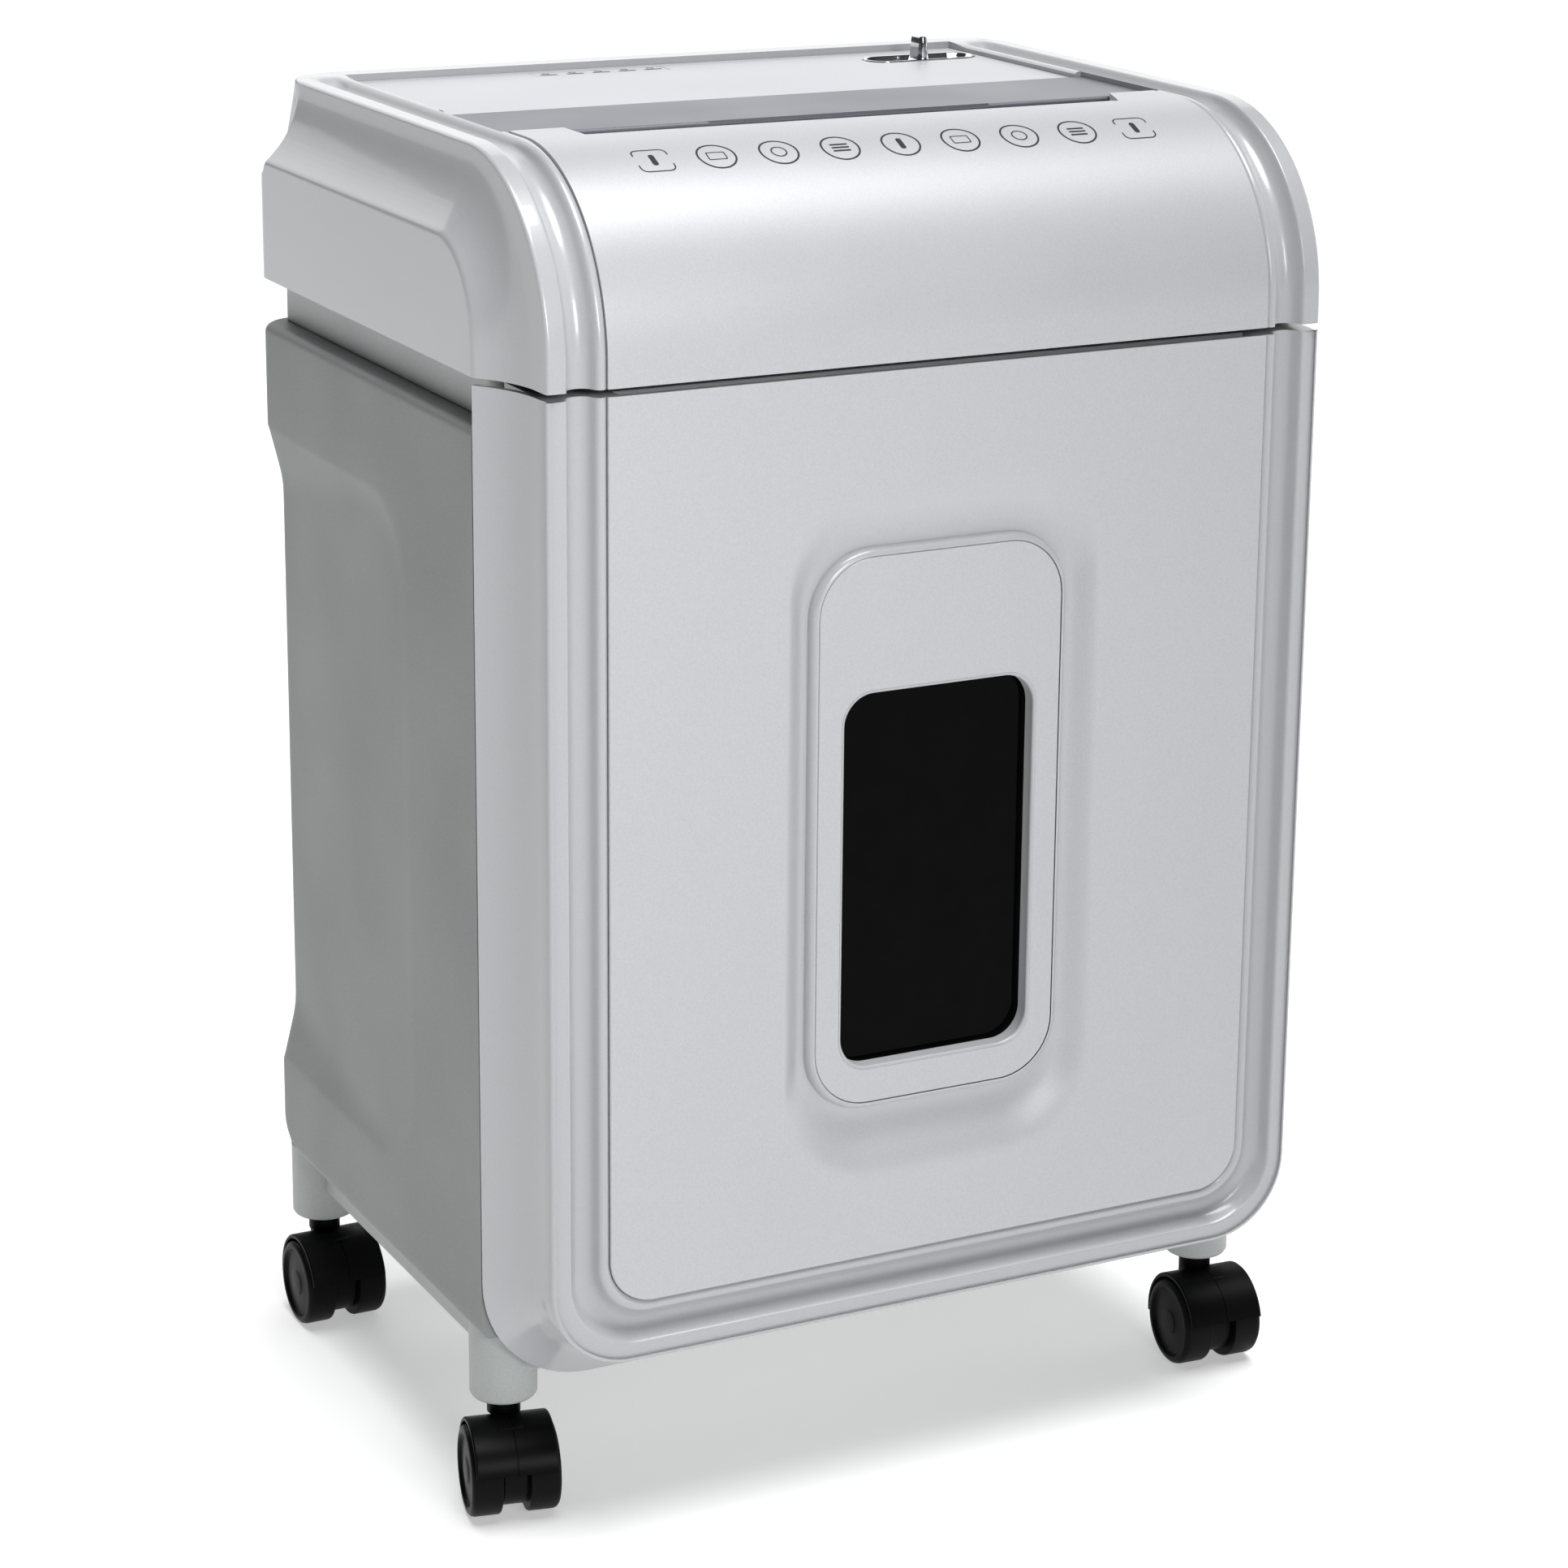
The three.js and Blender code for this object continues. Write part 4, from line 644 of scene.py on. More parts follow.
# ---- Throat trim -------------------------------------------------------------------------
# A flat metallic-grey plate, 2.5 mm ABS, that forms the rear lip of the paper slot. Its front
# edge rolls down into the slot, and a stepped stretch of it guides discs and cards.
trim_grey = moulded(
    "metallic_grey_lacquer", "#74767d", "#686a72", 0.5, 0.42, 0.04, 0.005, {"Metallic": 0.3}
)

slot_back = trim_low.y + 6
arm_x = slot_half + 4
nose = 1.6
lip = [
    (trim_high.y, trim_under),
    (trim_high.y, trim_high.z),
    *arc(slot_back + nose, trim_high.z - nose, nose, nose, 90, 180, 8),
    (slot_back, guide_bottom),
    (slot_back + 2.5, guide_bottom),
    (slot_back + 2.5, trim_under),
]
trim = prism(lip, "x", -arm_x - 1, arm_x + 1)
for x0, x1 in ((trim_low.x, -arm_x), (arm_x, trim_high.x)):
    weld(trim, block(x0, x1, trim_low.y, trim_high.y, trim_under, trim_high.z))
disc_width = 125.7
disc_half = disc_width / 2
disc_x = 7
step_cut = loft(
    "tool",
    [
        [(disc_x - disc_half - grow, y, z), (disc_x + disc_half + grow, y, z),
         (disc_x + disc_half + grow, y + 8, z), (disc_x - disc_half - grow, y + 8, z)]
        for y, z, grow in ((slot_back - 6.4, trim_high.z - 1.3, 0), (slot_back - 6, trim_high.z + 0.5, 1.6))
    ],
)
carve(trim, step_cut)
ease(trim, 0.4)
dress(trim, "throat_trim_plate", trim_grey, "cabinet", "trim_grey", "throat_trim")


# ---- Deck, indicator window, slide switch ------------------------------------------------
# Behind the trim lies a satin plate. It holds a pale strip with the marks of five lamps, and
# a chromed dish in which the slide switch's fin runs.
switch_x = (dish_low.x + dish_high.x) / 2
switch_y = (dish_low.y + dish_high.y) / 2
dish_half = (dish_high.x - dish_low.x) / 2
dish_deep = (dish_high.y - dish_low.y) / 2
window_low, window_high = extent("indicator_window")
deck = prism(
    rounded(deck_low.x, deck_low.y, deck_high.x, deck_high.y, 1.2, 3), "z", deck_low.z, deck_high.z
)
carve(
    deck,
    prism(
        rounded(
            switch_x - dish_half - gap, switch_y - dish_deep - gap,
            switch_x + dish_half + gap, switch_y + dish_deep + gap, dish_deep - 0.2, 16,
        ),
        "z", deck_low.z - 1, deck_high.z + 1,
    ),
    block(
        window_low.x - gap, window_high.x + gap, window_low.y - gap, window_high.y + gap,
        deck_low.z - 1, deck_high.z + 1,
    ),
)
ease(deck, 0.3)
dress(deck, "top_deck_plate", pearl_satin, "cabinet", "pearl_satin", "top_deck")

strip = block(window_low.x, window_high.x, window_low.y, window_high.y, window_low.z, window_high.z)
ease(strip, 0.25)
dress(strip, "indicator_strip", pearl_satin, "cabinet", "indicator", "indicator_window")
films = []
lamp_pitch = (window_high.x - window_low.x) / 5
for i in range(5):
    lamp_x = window_low.x + lamp_pitch * (i + 0.5)

    def onto(across, along, lift, lamp_x=lamp_x):
        return (lamp_x + across, window_low.y + 4 + along, window_high.z + 0.01 + lift)

    films.append(printed(rounded(-4, -1.1, 4, 1.1, 0.4, 3), None, onto))
    films.append(printed(rounded(-1.6, 2.2, 1.6, 5, 0.7, 3), rounded(-1.0, 2.8, 1.0, 4.4, 0.3, 3), onto))
lamps = gather("indicator_marks", films)
lamps.data.materials.append(ink)
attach(lamps, "cabinet")

# Bright chrome plating on ABS: a mirror with faint polishing variation.
chrome = moulded("chrome_plating", "#d9dadc", "#d0d1d4", 4.0, 0.09, 0.03, 0.002, {"Metallic": 1.0})


def stadium(inset, z):
    """The dish's outline, drawn in and at a height."""
    return [
        (x, y, z)
        for x, y in rounded(
            switch_x - dish_half + inset, switch_y - dish_deep + inset,
            switch_x + dish_half - inset, switch_y + dish_deep - inset, dish_deep - 0.2 - inset, 16,
        )
    ]


bowl_deep = 3.2
bowl = [(0, -4.8), (0, 0.1), (0.15, 0.45), (0.5, 0.6), (1.2, 0.5), (1.8, 0.0), (2.6, -1.2),
        (4.0, -2.3), (6, -2.9), (7.6, -bowl_deep)]
dish = loft("switch_dish_bowl", [stadium(inset, deck_high.z + z) for inset, z in bowl])
knob_low = extent("switch_knob")[0]
travel = 12
carve(
    dish,
    block(switch_x - travel - 2.5, switch_x + travel + 2.5, switch_y - 2.5, switch_y + 2.5,
          deck_high.z - 6, deck_high.z + 1),
)
dress(dish, "switch_dish_bowl", chrome, "cabinet", "bright_chrome", "switch_dish")

# The fin: a slim thumb blade on a flared foot, its stem going down into the switch.
# Each row has its half width, half depth, corner radius and height.
knob_foot = deck_high.z - bowl_deep + gap
blade = [(4.5, 5.5, 3.0, 0.0), (4.3, 5.5, 2.9, 0.6), (3.3, 5.5, 2.6, 1.6), (2.6, 5.45, 2.2, 3.0),
         (2.3, 5.4, 2.0, 5.5), (2.0, 5.2, 1.8, 9.5), (1.8, 5.0, 1.7, 12.0), (1.3, 4.6, 1.2, 12.8),
         (0.6, 4.0, 0.55, 13.0)]
knob = loft(
    "switch_fin",
    [
        [(switch_x + x, switch_y + y, knob_foot + z) for x, y in rounded(-a, -b, a, b, r, 6)]
        for a, b, r, z in blade
    ],
)
weld(knob, block(switch_x - 2, switch_x + 2, switch_y - 2, switch_y + 2, knob_low.z, knob_foot + 1))
dress(knob, "switch_fin", chrome, "switch", "bright_chrome", "switch_knob")


# ---- Head tray ---------------------------------------------------------------------------
# A grey ABS moulding under the lid: the neck that shows between lid and cabinet, and the pan
# that carries the cutter block. It is screwed up into the lid.

# Moulded ABS with a fine spark-eroded texture: matt, faintly mottled. The paler copy is the same grey with
# painted light, for parts that sit in shade.
grey_with_painted_light = moulded("grey_abs_painted_light", "#b4b8b7", "#a9adac", 0.7, 0.5, 0.03, 0.008)
grey_body = moulded("textured_grey_abs", "#838786", "#7a7e7d", 0.7, 0.5, 0.03, 0.008)

tray_low, tray_high = extent("head_tray")
cabinet_low, cabinet_high = extent("cabinet_shell")
door_low, door_high = extent("drawer_front")
seam = door_high.y
neck_x = half_width - 10.5
neck_front, neck_back = seam + 2, back - 4
tray = prism(
    rounded(-neck_x, neck_front, neck_x, neck_back, 8), "z", cabinet_high.z + gap, parting - gap
)
carve(
    tray,
    prism(
        rounded(-neck_x + shell, neck_front + shell, neck_x - shell, neck_back - shell, 6),
        "z", cabinet_high.z - 1, parting + 1,
    ),
)
cabinet_wall = 4
scoop_deep = 7.5
cavity_x = half_width - scoop_deep - cabinet_wall
pan_x = cavity_x - 1.5
pan_back = back - cabinet_wall - 3
pan = prism(rounded(-pan_x, neck_front, pan_x, pan_back, 12), "z", tray_low.z, cabinet_high.z + 5)
carve(
    pan,
    prism(
        rounded(-pan_x + shell, neck_front + shell, pan_x - shell, pan_back - shell, 9),
        "z", tray_low.z + shell, cabinet_high.z + 9,
    ),
)
weld(tray, pan)
slot_y = trim_low.y + 3
chute_half = 31
carve(
    tray,
    block(-slot_half + 6, slot_half - 6, slot_y - chute_half, slot_y + chute_half,
          tray_low.z - 1, tray_low.z + 9),
)
flange_x = half_width - shell - 0.1
flange = prism(
    rounded(-flange_x, neck_front, flange_x, back - shell - 0.1, rear_corner), "z", parting - 1, tray_high.z
)
carve(
    flange,
    block(-neck_x + shell, neck_x - shell, neck_front + shell, neck_back - shell, parting - 2, parting + 3),
    block(-half_width, half_width, neck_front - 1, neck_front + shell, parting, parting + 3),
)
weld(tray, flange)
ease(tray, 0.4)
# The neck takes the grey with painted light, which lifts the shade it sits in between lid and cabinet.
dress(tray, "head_tray_neck", grey_with_painted_light, "cabinet", "grey_body", "head_tray")


# ---- Cabinet -----------------------------------------------------------------------------
# The main shell: one textured grey ABS moulding, 4 mm, open at the front for the drawer and
# at the top for the head. The rear half of each side is scooped so that fingers can lift it.
scoop_front = back - 170
scoop_top = cabinet_high.z - 44
scoop_low = cabinet_low.z + 40
scoop_slope = 0.25
scoop_corner = 42
scoop_blend = 1.6
scoop_step = 0.12


def soft_least(a, b, blend):
    """The lesser of two values, with the corner between them rounded."""
    near = max(blend - abs(a - b), 0) / blend
    return min(a, b) - near * near * blend / 4


def scoop(y, z):
    """How deep the scoop is at a point of the side: a wedge inside a round-cornered frame."""
    middle = (scoop_top + scoop_low) / 2
    tall = (scoop_top - scoop_low) / 2 - scoop_corner
    u = scoop_front + scoop_corner - y
    v = abs(z - middle) - tall
    inside = scoop_corner - (math.hypot(max(u, 0), max(v, 0)) if max(u, v) > 0 else max(u, v))
    if inside <= 0:
        return 0
    wedge = scoop_deep * (y - scoop_front) / (back - scoop_front)
    return max(0, soft_least(wedge, scoop_slope * inside, scoop_blend) + scoop_step)


side_ys = [scoop_front - 8, scoop_front - 3]
side_ys += [scoop_front + (back - 2 * rear_corner - scoop_front) * i / 40 for i in range(41)]


def cabinet_ring(z, inset):
    """The casing's outline at a height; its back draws in towards the foot."""
    rise = max(0, 1 - (z - cabinet_low.z) / rear_corner)
    rear = back - inset - rear_corner * rise**2
    corner_y = rear - rear_corner
    shift = corner_y - (back - 2 * rear_corner)
    half = [(half_width - inset, seam), (half_width - inset, seam + 4)]
    for y in side_ys:
        moved = y + shift * max(0, (y - scoop_front) / (back - 2 * rear_corner - scoop_front))
        half.append((half_width - inset - scoop(y, z), moved))
    corner_x = half_width - inset - scoop(back - 2 * rear_corner, z) - rear_corner
    half += arc(corner_x, corner_y, rear_corner, rear_corner, 0, 90, 12)
    return [(x, y, z) for x, y in [*half, *[(-x, y) for x, y in reversed(half)]]]


# Rows are close together where the scoop's frame turns, and further apart between.
scoop_tall = scoop_top - scoop_low
foot_edge = ((0, 4), (0.4, 2.6), (1.2, 1.4), (2.6, 0.5), (4.5, 0), (8, 0), (11, 0), (14, 0), (30, 0))
head_edge = ((30, 0), (10, 0), (4, 0), (2.4, 0.3), (1.2, 1), (0.4, 2), (0, 3.2))
levels = [(cabinet_low.z + rise, inset) for rise, inset in foot_edge]
levels += [(scoop_low + scoop_tall * 0.25 * i / 22, 0) for i in range(23)]
levels += [(scoop_low + scoop_tall * (0.25 + 0.5 * i / 6), 0) for i in range(1, 6)]
levels += [(scoop_top - scoop_tall * 0.25 * (1 - i / 22), 0) for i in range(23)]
levels += [(cabinet_high.z - drop, inset) for drop, inset in head_edge]
cabinet = loft("cabinet_casing", [cabinet_ring(z, inset) for z, inset in levels])


def cavity_ring(z):
    """The inside outline at a height; its back follows the casing's foot, one wall in."""
    rise = max(0, 1 - (z - cabinet_low.z) / rear_corner)
    rear = back - cabinet_wall - rear_corner * rise**2
    outline = rounded(-cavity_x, seam - 20, cavity_x, rear, rear_corner - cabinet_wall)
    return [(x, y, z) for x, y in outline]


foot = [cabinet_low.z + cabinet_wall + (rear_corner - cabinet_wall) * i / 8 for i in range(9)]
carve(cabinet, loft("tool", [cavity_ring(z) for z in (*foot, cabinet_high.z + 1)]))
dress(cabinet, "cabinet_casing", grey_body, "cabinet", "grey_body", "cabinet_shell", sharp=50)


# ---- Base tray ---------------------------------------------------------------------------
# A shallow grey ABS tray screwed under the cabinet, with four round legs that take the
# castor stems.
base_low, base_high = extent("base_tray")
leg_radius = 13.9
leg_bottom = base_low.z
legs = {}
for leg in ("fl", "fr", "rl", "rr"):
    low, high = extent(f"castor_stem_{leg}")
    legs[leg] = ((low.x + high.x) / 2, (low.y + high.y) / 2)
base_x = half_width - 13
base_front, base_back = seam + 4, back - 12
base_bottom = 60
base = loft(
    "base_tray_moulding",
    [
        [(x, y, z) for x, y in rounded(-base_x + g, base_front + g, base_x - g, base_back - g, 10 - g)]
        for z, g in ((base_bottom, 1.6), (base_bottom + 0.4, 0.7), (base_bottom + 1.6, 0), (base_high.z, 0))
    ],
)
carve(
    base,
    prism(
        rounded(
            -base_x + 2 * leg_radius, base_front + shell, base_x - 2 * leg_radius, base_back - shell, 7
        ),
        "z", base_bottom - 1, base_high.z - shell,
    ),
)
for x, y in legs.values():
    post = loft(
        "tool",
        [
            [(u, v, z) for u, v in arc(x, y, leg_radius - g, leg_radius - g, 0, 354, 59)]
            for z, g in ((leg_bottom, 1.8), (leg_bottom + 0.5, 0.8), (leg_bottom + 1.8, 0), (base_high.z, 0))
        ],
    )
    weld(base, post)
for x, y in legs.values():
    carve(base, prism(arc(x, y, 5.6, 5.6, 0, 345, 23), "z", leg_bottom - 1, leg_bottom + 22))
# The tray and its legs take the grey with painted light, which lifts the shade under the cabinet.
dress(base, "base_tray_moulding", grey_with_painted_light, "cabinet", "grey_body", "base_tray")


# ---- Castors -----------------------------------------------------------------------------
# Twin-wheel furniture castors in black nylon: a hood shades the tops of two hard wheels, and
# a steel stem presses up into the leg.

# Black nylon, dull from its mould, and bare turned steel.
castor_black = moulded(
    "black_nylon", "#0a0a0b", "#070708", 0.6, 0.4, 0.05, 0.01, {"Specular IOR Level": 0.08}
)
steel = moulded("turned_steel", "#a9abae", "#9a9c9f", 0.8, 0.3, 0.05, 0.003, {"Metallic": 1.0})


def lathed(name, profile, steps=72):
    """A solid turned about the X axis from (radius, x) points that start and end on it."""
    rings = []
    for radius, x in profile:
        rings.append([(x, v, w) for v, w in arc(0, 0, radius, radius, 0, 360 - 360 / steps, steps - 1)])
    return loft(name, rings)


def band_about(name, section, start, end, steps):
    """A closed section of (radius, x) points swept about the X axis between two angles."""
    rings = []
    for i in range(steps + 1):
        turn = math.radians(start + (end - start) * i / steps)
        rings.append([(x, radius * math.cos(turn), radius * math.sin(turn)) for radius, x in section])
    return loft(name, rings)


wheel_low, wheel_high = extent("castor_wheel_rl_left")
wheel_z = (wheel_low.z + wheel_high.z) / 2
wheel_radius = wheel_z - 0.02
web = 4.5
wheel_in = web + 1
wheel_out = wheel_in + 13
trail = 11
hood_inner = wheel_radius + 1.2
hood_outer = 21.6
for leg, (x, y) in legs.items():
    joint = next(j for j in frame["joints"] if j["name"] == f"roll_{leg}_left")
    turn = math.atan2(joint["axis"][1], joint["axis"][0])
    turn -= math.pi * round(turn / math.pi)
    stand = Matrix.Translation(Vector((x, y, 0)) * MM) @ Matrix.Rotation(turn, 4, "Z")
    axle = stand @ Matrix.Translation(Vector((0, -trail, wheel_z)) * MM)
    for side, sign in (("left", -1), ("right", 1)):
        tread = [
            (0.01, wheel_in), (wheel_radius - 1, wheel_in), (wheel_radius - 0.3, wheel_in + 0.3),
            (wheel_radius, wheel_in + 1), (wheel_radius, wheel_out - 2.4),
            (wheel_radius - 0.4, wheel_out - 1.1), (wheel_radius - 1.3, wheel_out - 0.3),
            (wheel_radius - 2.4, wheel_out),
            (wheel_radius - 3.3, wheel_out - 0.1), (wheel_radius - 3.8, wheel_out - 0.6),
            (wheel_radius - 4.3, wheel_out - 1.3), (wheel_radius - 5.2, wheel_out - 1.5),
            (6.2, wheel_out - 0.9), (5.6, wheel_out - 0.5), (4.8, wheel_out - 0.3), (0.01, wheel_out - 0.2),
        ]
        wheel = lathed("tool", [(radius, sign * across) for radius, across in tread])
        wheel.data.transform(axle)
        dress(
            wheel, f"wheel_{leg}_{side}", castor_black, f"wheel_{leg}_{side}", "castor_black",
            f"castor_wheel_{leg}_{side}",
        )
    half = wheel_out - 1.5
    fender = [(hood_inner, -half), (hood_outer - 0.5, -half), (hood_outer, -half + 0.6),
              (hood_outer, -0.4), (hood_outer - 0.3, -0.2), (hood_outer - 0.3, 0.2), (hood_outer, 0.4),
              (hood_outer, half - 0.6), (hood_outer - 0.5, half), (hood_inner, half)]
    hood = band_about("tool", fender, -8, 165, 40)
    weld(
        hood,
        lathed("tool", [(0.01, -web), (wheel_radius - 3.5, -web), (wheel_radius - 3.5, web), (0.01, web)]),
        lathed("tool", [(0.01, -wheel_out + 3.6), (2.9, -wheel_out + 3.6), (2.9, wheel_out - 3.6),
                        (0.01, wheel_out - 3.6)], 24),
        block(-web, web, -8, trail + 6, 3, wheel_radius + 1.9),
    )
    neck = loft(
        "tool",
        [
            [(u, v, z - wheel_z) for u, v in arc(0, trail, r, r, 0, 352.5, 47)]
            for z, r in ((2 * wheel_radius - 7, 6.9), (leg_bottom - 1.2, 6.9), (leg_bottom - 0.6, 6.7),
                         (leg_bottom - gap, 6.2))
        ],
    )
    carve(
        neck,
        block(-40, -web, -40, 40, -wheel_z, wheel_radius + 1.5),
        block(web, 40, -40, 40, -wheel_z, wheel_radius + 1.5),
    )
    weld(hood, neck)
    hood.data.transform(axle)
    dress(
        hood, f"castor_hood_shell_{leg}", castor_black, f"castor_{leg}", "castor_black",
        f"castor_hood_{leg}",
    )


# ---- Drawer front ------------------------------------------------------------------------
# The drawer's face frame in pearl gloss lacquer: it carries the head's cove, rim, groove and
# bead down both sides and round the bottom. The bin hangs behind it.
door_top = door_high.z
rim_bottom = 79.3
skirt_drop = rim_bottom - door_low.z
door_corner = 34
frame_back = front + 9.5


def door_outline(half, bottom, corner, y, upper=door_top, steps=16):
    """An outline that is flat at the top and round at its two bottom corners."""
    points = [(-half, upper)]
    points += arc(-half + corner, bottom + corner, corner, corner, 180, 270, steps)
    points += arc(half - corner, bottom + corner, corner, corner, 270, 360, steps)
    points.append((half, upper))
    return [(x, y, z) for x, z in points]


def rim_line(inset, y, flare=0.0):
    """The door's outline at an inset from the rim; flare takes it out along the cove."""
    out = side_out * flare
    corner = door_corner + 12 * flare - 0.6 * inset
    return door_outline(rim_x - inset + out, rim_bottom + inset - skirt_drop * flare, corner, y)


def sweep_round(name, lines):
    """A closed section whose corners each follow their own line, capped at both ends."""
    count = len(lines[0])
    total = len(lines)
    faces = [
        (s * count + i, s * count + i + 1, (s + 1) % total * count + i + 1, (s + 1) % total * count + i)
        for s in range(total)
        for i in range(count - 1)
    ]
    faces.append(tuple(s * count for s in range(total)))
    faces.append(tuple(s * count + count - 1 for s in reversed(range(total))))
    return turned_out(build(name, [point for line in lines for point in line], faces))


cove_lines = []
for i in range(15):
    swept = side_inset * (1 - i / 14)
    out = cove_radius - math.sqrt(cove_radius**2 - swept**2)
    cove_lines.append((front + cove_start + swept, out / side_out))
outer = [rim_line(0.9, seam, 1), rim_line(0.3, seam - 0.3, 1), rim_line(0, seam - 1, 1)]
outer += [rim_line(0, y, flare) for y, flare in cove_lines]
outer += [rim_line(1.5 - v, front + u) for u, v in arc(1.5, 0, -1.5, 1.5, 0, 90, 5)]
outer += [rim_line(into, front + depth) for into, depth in bead_line]
panel_inset = rim_x - panel_x
outer += [rim_line(panel_inset, front + shell), rim_line(panel_inset + 6, front + shell)]
outer += [rim_line(panel_inset + 6, frame_back)]
inner = [rim_line(shell, y, flare) for y, flare in reversed(cove_lines) if y > frame_back]
inner.append(rim_line(shell, seam, 1))
drawer = sweep_round("drawer_face_frame", [*outer, *inner])
weld(
    drawer,
    block(-rim_x + 1, rim_x - 1, frame_back, seam - 0.5, door_top - shell, door_top - 0.02),
)
dress(drawer, "drawer_face_frame", pearl_gloss, "drawer", "pearl_gloss", "drawer_front")


# ---- Drawer panel ------------------------------------------------------------------------
# A satin pearl skin set inside the bead, with a soft-walled pocket pressed into it around
# the window.
plate_inset = panel_inset + gap
panel = loft(
    "drawer_skin",
    [
        rim_line(plate_inset + g, front + depth)
        for g, depth in ((0, shell), (0, 0.7), (0.12, 0.35), (0.35, 0.12), (0.7, 0))
    ],
)
lens_low, lens_high = extent("window_lens")
ring_low, ring_high = extent("window_ring")
ring_half = ring_high.x
pocket_half = 71
pocket_depth = 7
pocket_above = 26.7
pocket_below = 29.5


def pocket_ring(share, y, grow):
    """The pocket's outline, from its mouth (0) to the window ring (1)."""
    half = pocket_half + (ring_half + 1 - pocket_half) * share + grow
    low = ring_low.z - 1 - (pocket_below - 1) * (1 - share) - grow
    high = ring_high.z + 1 + (pocket_above - 1) * (1 - share) + grow
    corner = 40 - 12 * share + grow
    return [(x, y, z) for x, z in rounded(-half, low, half, high, corner, 14)]


def pocket_fall(share):
    """How far back the pocket's soft wall lies at that share."""
    return front + pocket_depth * (0.5 - 0.5 * math.cos(math.pi * min(1, share / 0.92)))


shares = [i / 20 for i in range(21)]
weld(
    panel,
    loft(
        "tool",
        [pocket_ring(0, front + 1, 1.5), *[pocket_ring(s, pocket_fall(s) + 2.5, 1) for s in shares]],
    ),
)
carve(
    panel,
    loft("tool", [pocket_ring(0, front - 1, 0.01), *[pocket_ring(s, pocket_fall(s), 0) for s in shares]]),
    prism(
        rounded(-ring_half + 4, ring_low.z + 4, ring_half - 4, ring_high.z - 4, 23, 12),
        "y", front, front + 20,
    ),
)
dress(panel, "drawer_skin", pearl_satin, "drawer", "pearl_satin", "drawer_panel")


# ---- Window ring and lens ----------------------------------------------------------------
# A raised pearl-white bezel with a satin face and a glossy rolled edge, and behind it a
# smoked acrylic pane through which the fill of the bin is seen.
ring_seat = ring_high.y
ring_front = ring_low.y
pocket_floor = front + pocket_depth
glass_half = 42.5
pane_lap = 5
glass_low = lens_low.z + pane_lap
glass_high = lens_high.z - pane_lap


def ring_line(inset, y):
    """The ring's outer outline, drawn in."""
    half = ring_half - inset
    return [
        (x, y, z)
        for x, z in rounded(-half, ring_low.z + inset, half, ring_high.z - inset, 27 - inset, 12)
    ]


def glass_line(grow, y):
    """The outline of the glass that shows, grown by so much."""
    return [
        (x, y, z)
        for x, z in rounded(
            -glass_half - grow, glass_low - grow, glass_half + grow, glass_high + grow, 13 + 0.5 * grow, 12
        )
    ]


def closed_band(name, loops):
    """A closed ring of section through loops that each run right round."""
    count = len(loops[0])
    total = len(loops)
    faces = [
        (s * count + i, s * count + (i + 1) % count, (s + 1) % total * count + (i + 1) % count,
         (s + 1) % total * count + i)
        for s in range(total)
        for i in range(count)
    ]
    return turned_out(build(name, [point for loop in loops for point in loop], faces))


rise = pocket_floor - ring_front
loops = [ring_line(0, pocket_floor)]
loops += [ring_line(3 - v, ring_front + u) for u, v in arc(rise, 0, -rise, 3, 0, 90, 8)]
loops += [ring_line(3.6, ring_front), glass_line(3, ring_front), glass_line(1.4, ring_front)]
loops += [glass_line(1.2 - v, ring_front + u) for u, v in arc(1.2, 0, -1.2, 1.2, 90, 0, 4)]
loops += [glass_line(0, ring_seat), ring_line(4 + gap, ring_seat), ring_line(4 + gap, pocket_floor)]
bezel = closed_band("window_bezel", loops)
dress(bezel, "window_bezel", pearl_satin, "drawer", "pearl_gloss", "window_ring")
bezel.data.materials.append(pearl_gloss)
for face in bezel.data.polygons:
    centre = face.center / MM
    if abs(face.normal.y) < 0.97 and centre.y < pocket_floor:
        face.material_index = 1

# Smoked acrylic: nearly black, smooth, with little sheen.
smoke = moulded(
    "smoked_acrylic", "#060607", "#040405", 9.0, 0.05, 0.01, 0.001,
    {"IOR": 1.49, "Specular IOR Level": 0.02, "Transmission Weight": 0.05},
)
pane = loft(
    "window_pane",
    [
        glass_line(pane_lap - g, y)
        for g, y in ((0.5, lens_high.y), (0, lens_high.y - 0.5), (0, lens_low.y + 0.5), (0.5, lens_low.y))
    ],
)
dress(pane, "window_pane", smoke, "drawer", "smoke_lens", "window_lens")


# ---- Bin ---------------------------------------------------------------------------------
# The waste bin behind the drawer front: 2.5 mm black polypropylene with rounded lower edges
# and a flange down each side that runs on the cabinet's rails.

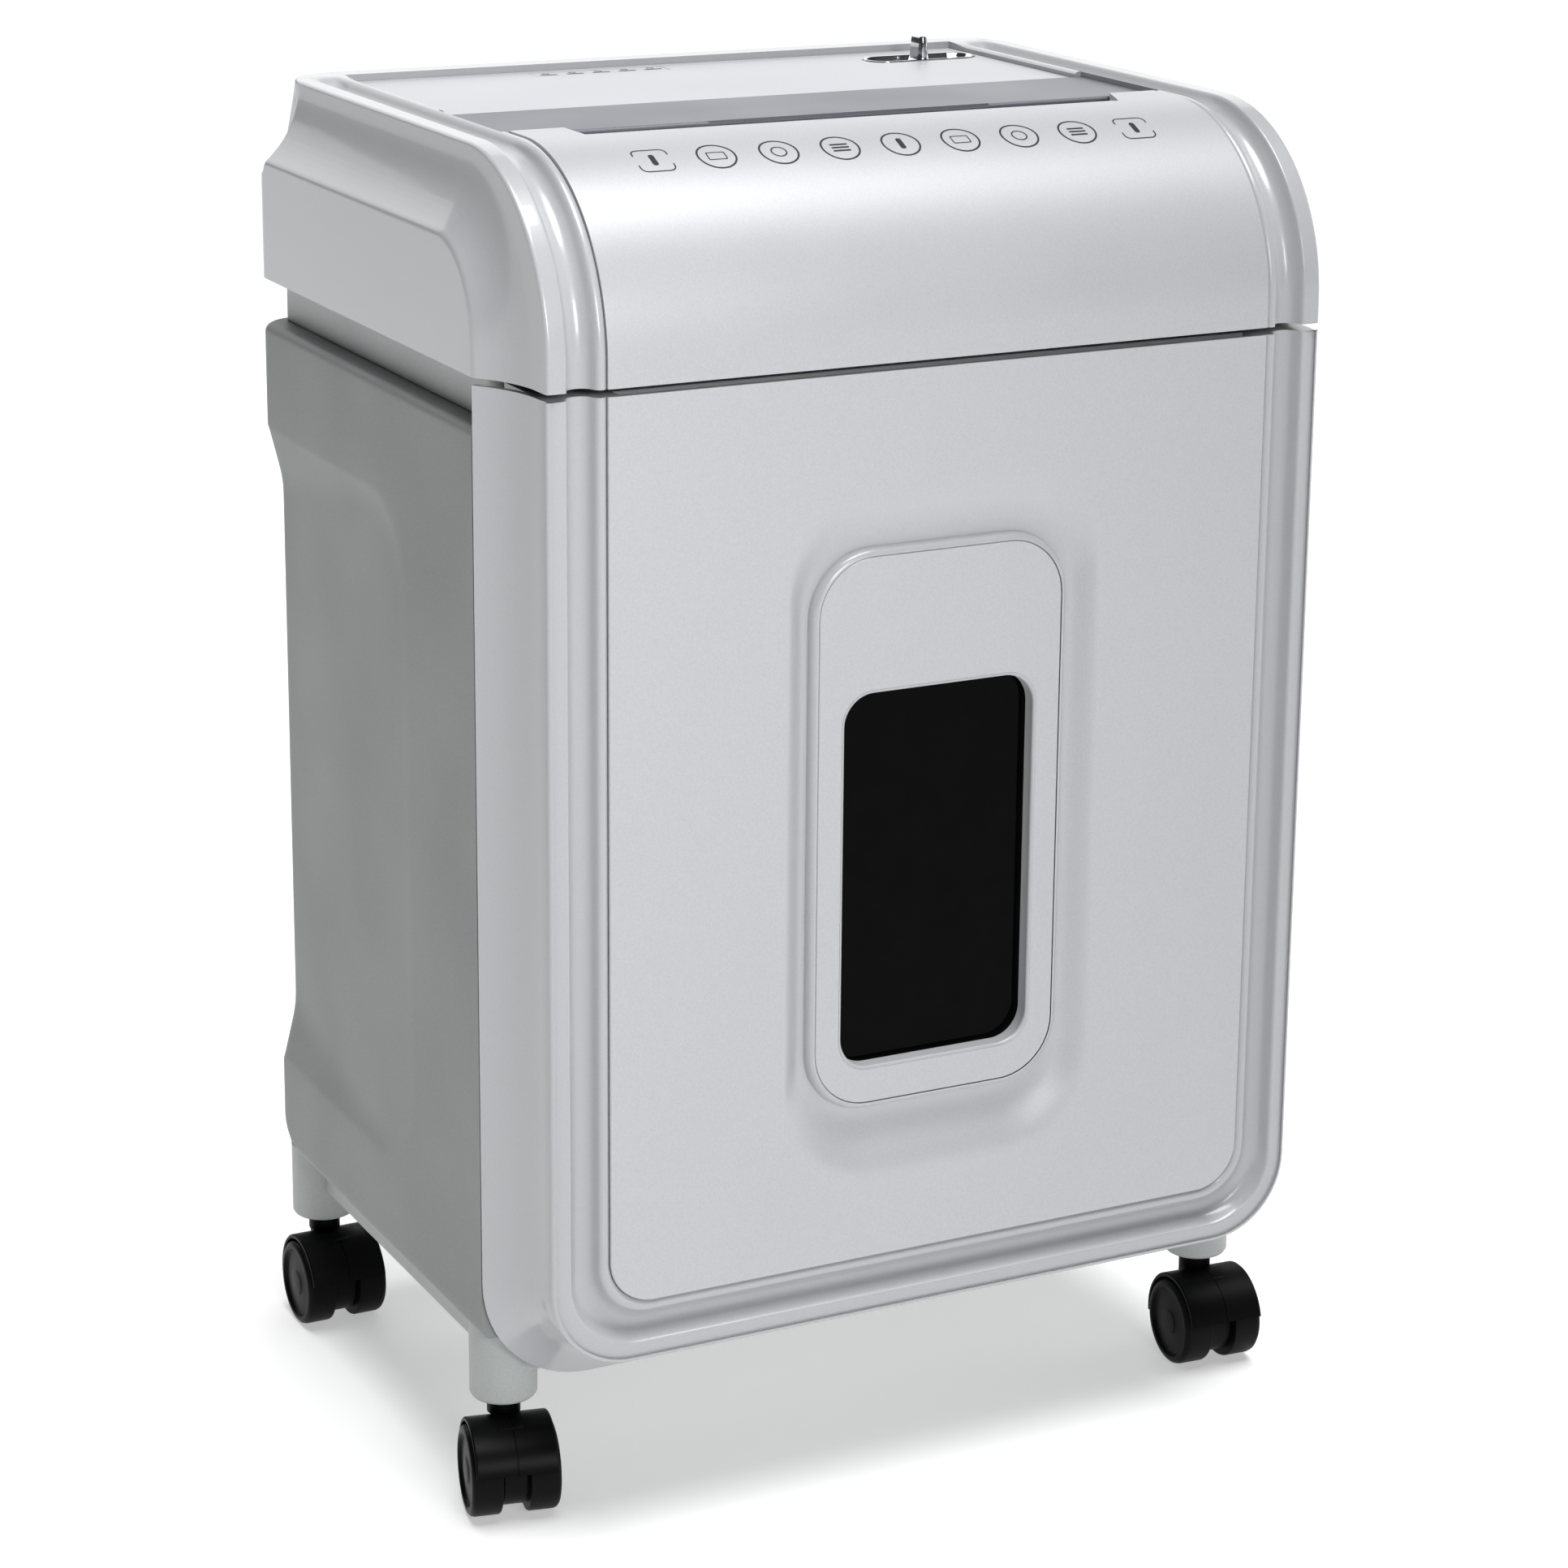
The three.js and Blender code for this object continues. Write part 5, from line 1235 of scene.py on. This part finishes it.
# Black polypropylene, matt and lightly mottled.
bin_black = moulded("black_polypropylene", "#151618", "#101113", 0.9, 0.55, 0.05, 0.015)
bin_low, bin_high = extent("bin")
bin_wall = 2.5
bin_corner = 24
bin_half = bin_high.x - 4
bin_front, bin_back = bin_low.y, bin_high.y
bin_box = loft(
    "tool",
    [door_outline(bin_half, bin_low.z, bin_corner, y, bin_high.z, 10) for y in (bin_front, bin_back)],
)
flange_z = bin_high.z - 6
weld(
    bin_box,
    block(bin_half - 1, bin_high.x, seam + 4, bin_back, flange_z, flange_z + 3),
    block(bin_low.x, -bin_half + 1, seam + 4, bin_back, flange_z, flange_z + 3),
)
carve(
    bin_box,
    loft(
        "tool",
        [
            door_outline(
                bin_half - bin_wall, bin_low.z + bin_wall, bin_corner - bin_wall, y, bin_high.z + 1, 10
            )
            for y in (bin_front + bin_wall, bin_back - bin_wall)
        ],
    ),
)
dress(bin_box, "waste_bin", bin_black, "drawer", "black_plastic", "bin")


# ---- Works inside the head ---------------------------------------------------------------
# The cutter block, its gears, motor and electrics keep their CAD shapes and get the finish
# of the stock that they are made from.

# Sintered bronze bushes, natural nylon gears, and the green laminate of a circuit board.
bronze = moulded("sintered_bronze", "#9a7444", "#7f5e33", 0.5, 0.45, 0.05, 0.01, {"Metallic": 1.0})
nylon = moulded("natural_nylon", "#e3dfd2", "#d8d3c4", 1.2, 0.45, 0.05, 0.005)
laminate = moulded("green_laminate", "#2f6d3e", "#245a32", 1.0, 0.4, 0.05, 0.01)
stock = {
    "steel": (steel, ["_shaft", "_plate", "tie_rod", "comb_", "cutter_gear", "idler_pin", "motor",
                      "castor_stem", "_rail"]),
    "bronze": (bronze, ["bush_"]),
    "nylon": (nylon, ["drive_gear", "idler_gear", "plunger"]),
    "board": (laminate, ["control_board"]),
    "black": (bin_black, ["gear_cover", "sensor", "safety_switch", "switch_block", "cord_inlet"]),
}
for material, words in stock.values():
    for name, node in frame["nodes"].items():
        if any(word in name for word in words):
            node.data.materials.clear()
            node.data.materials.append(material)
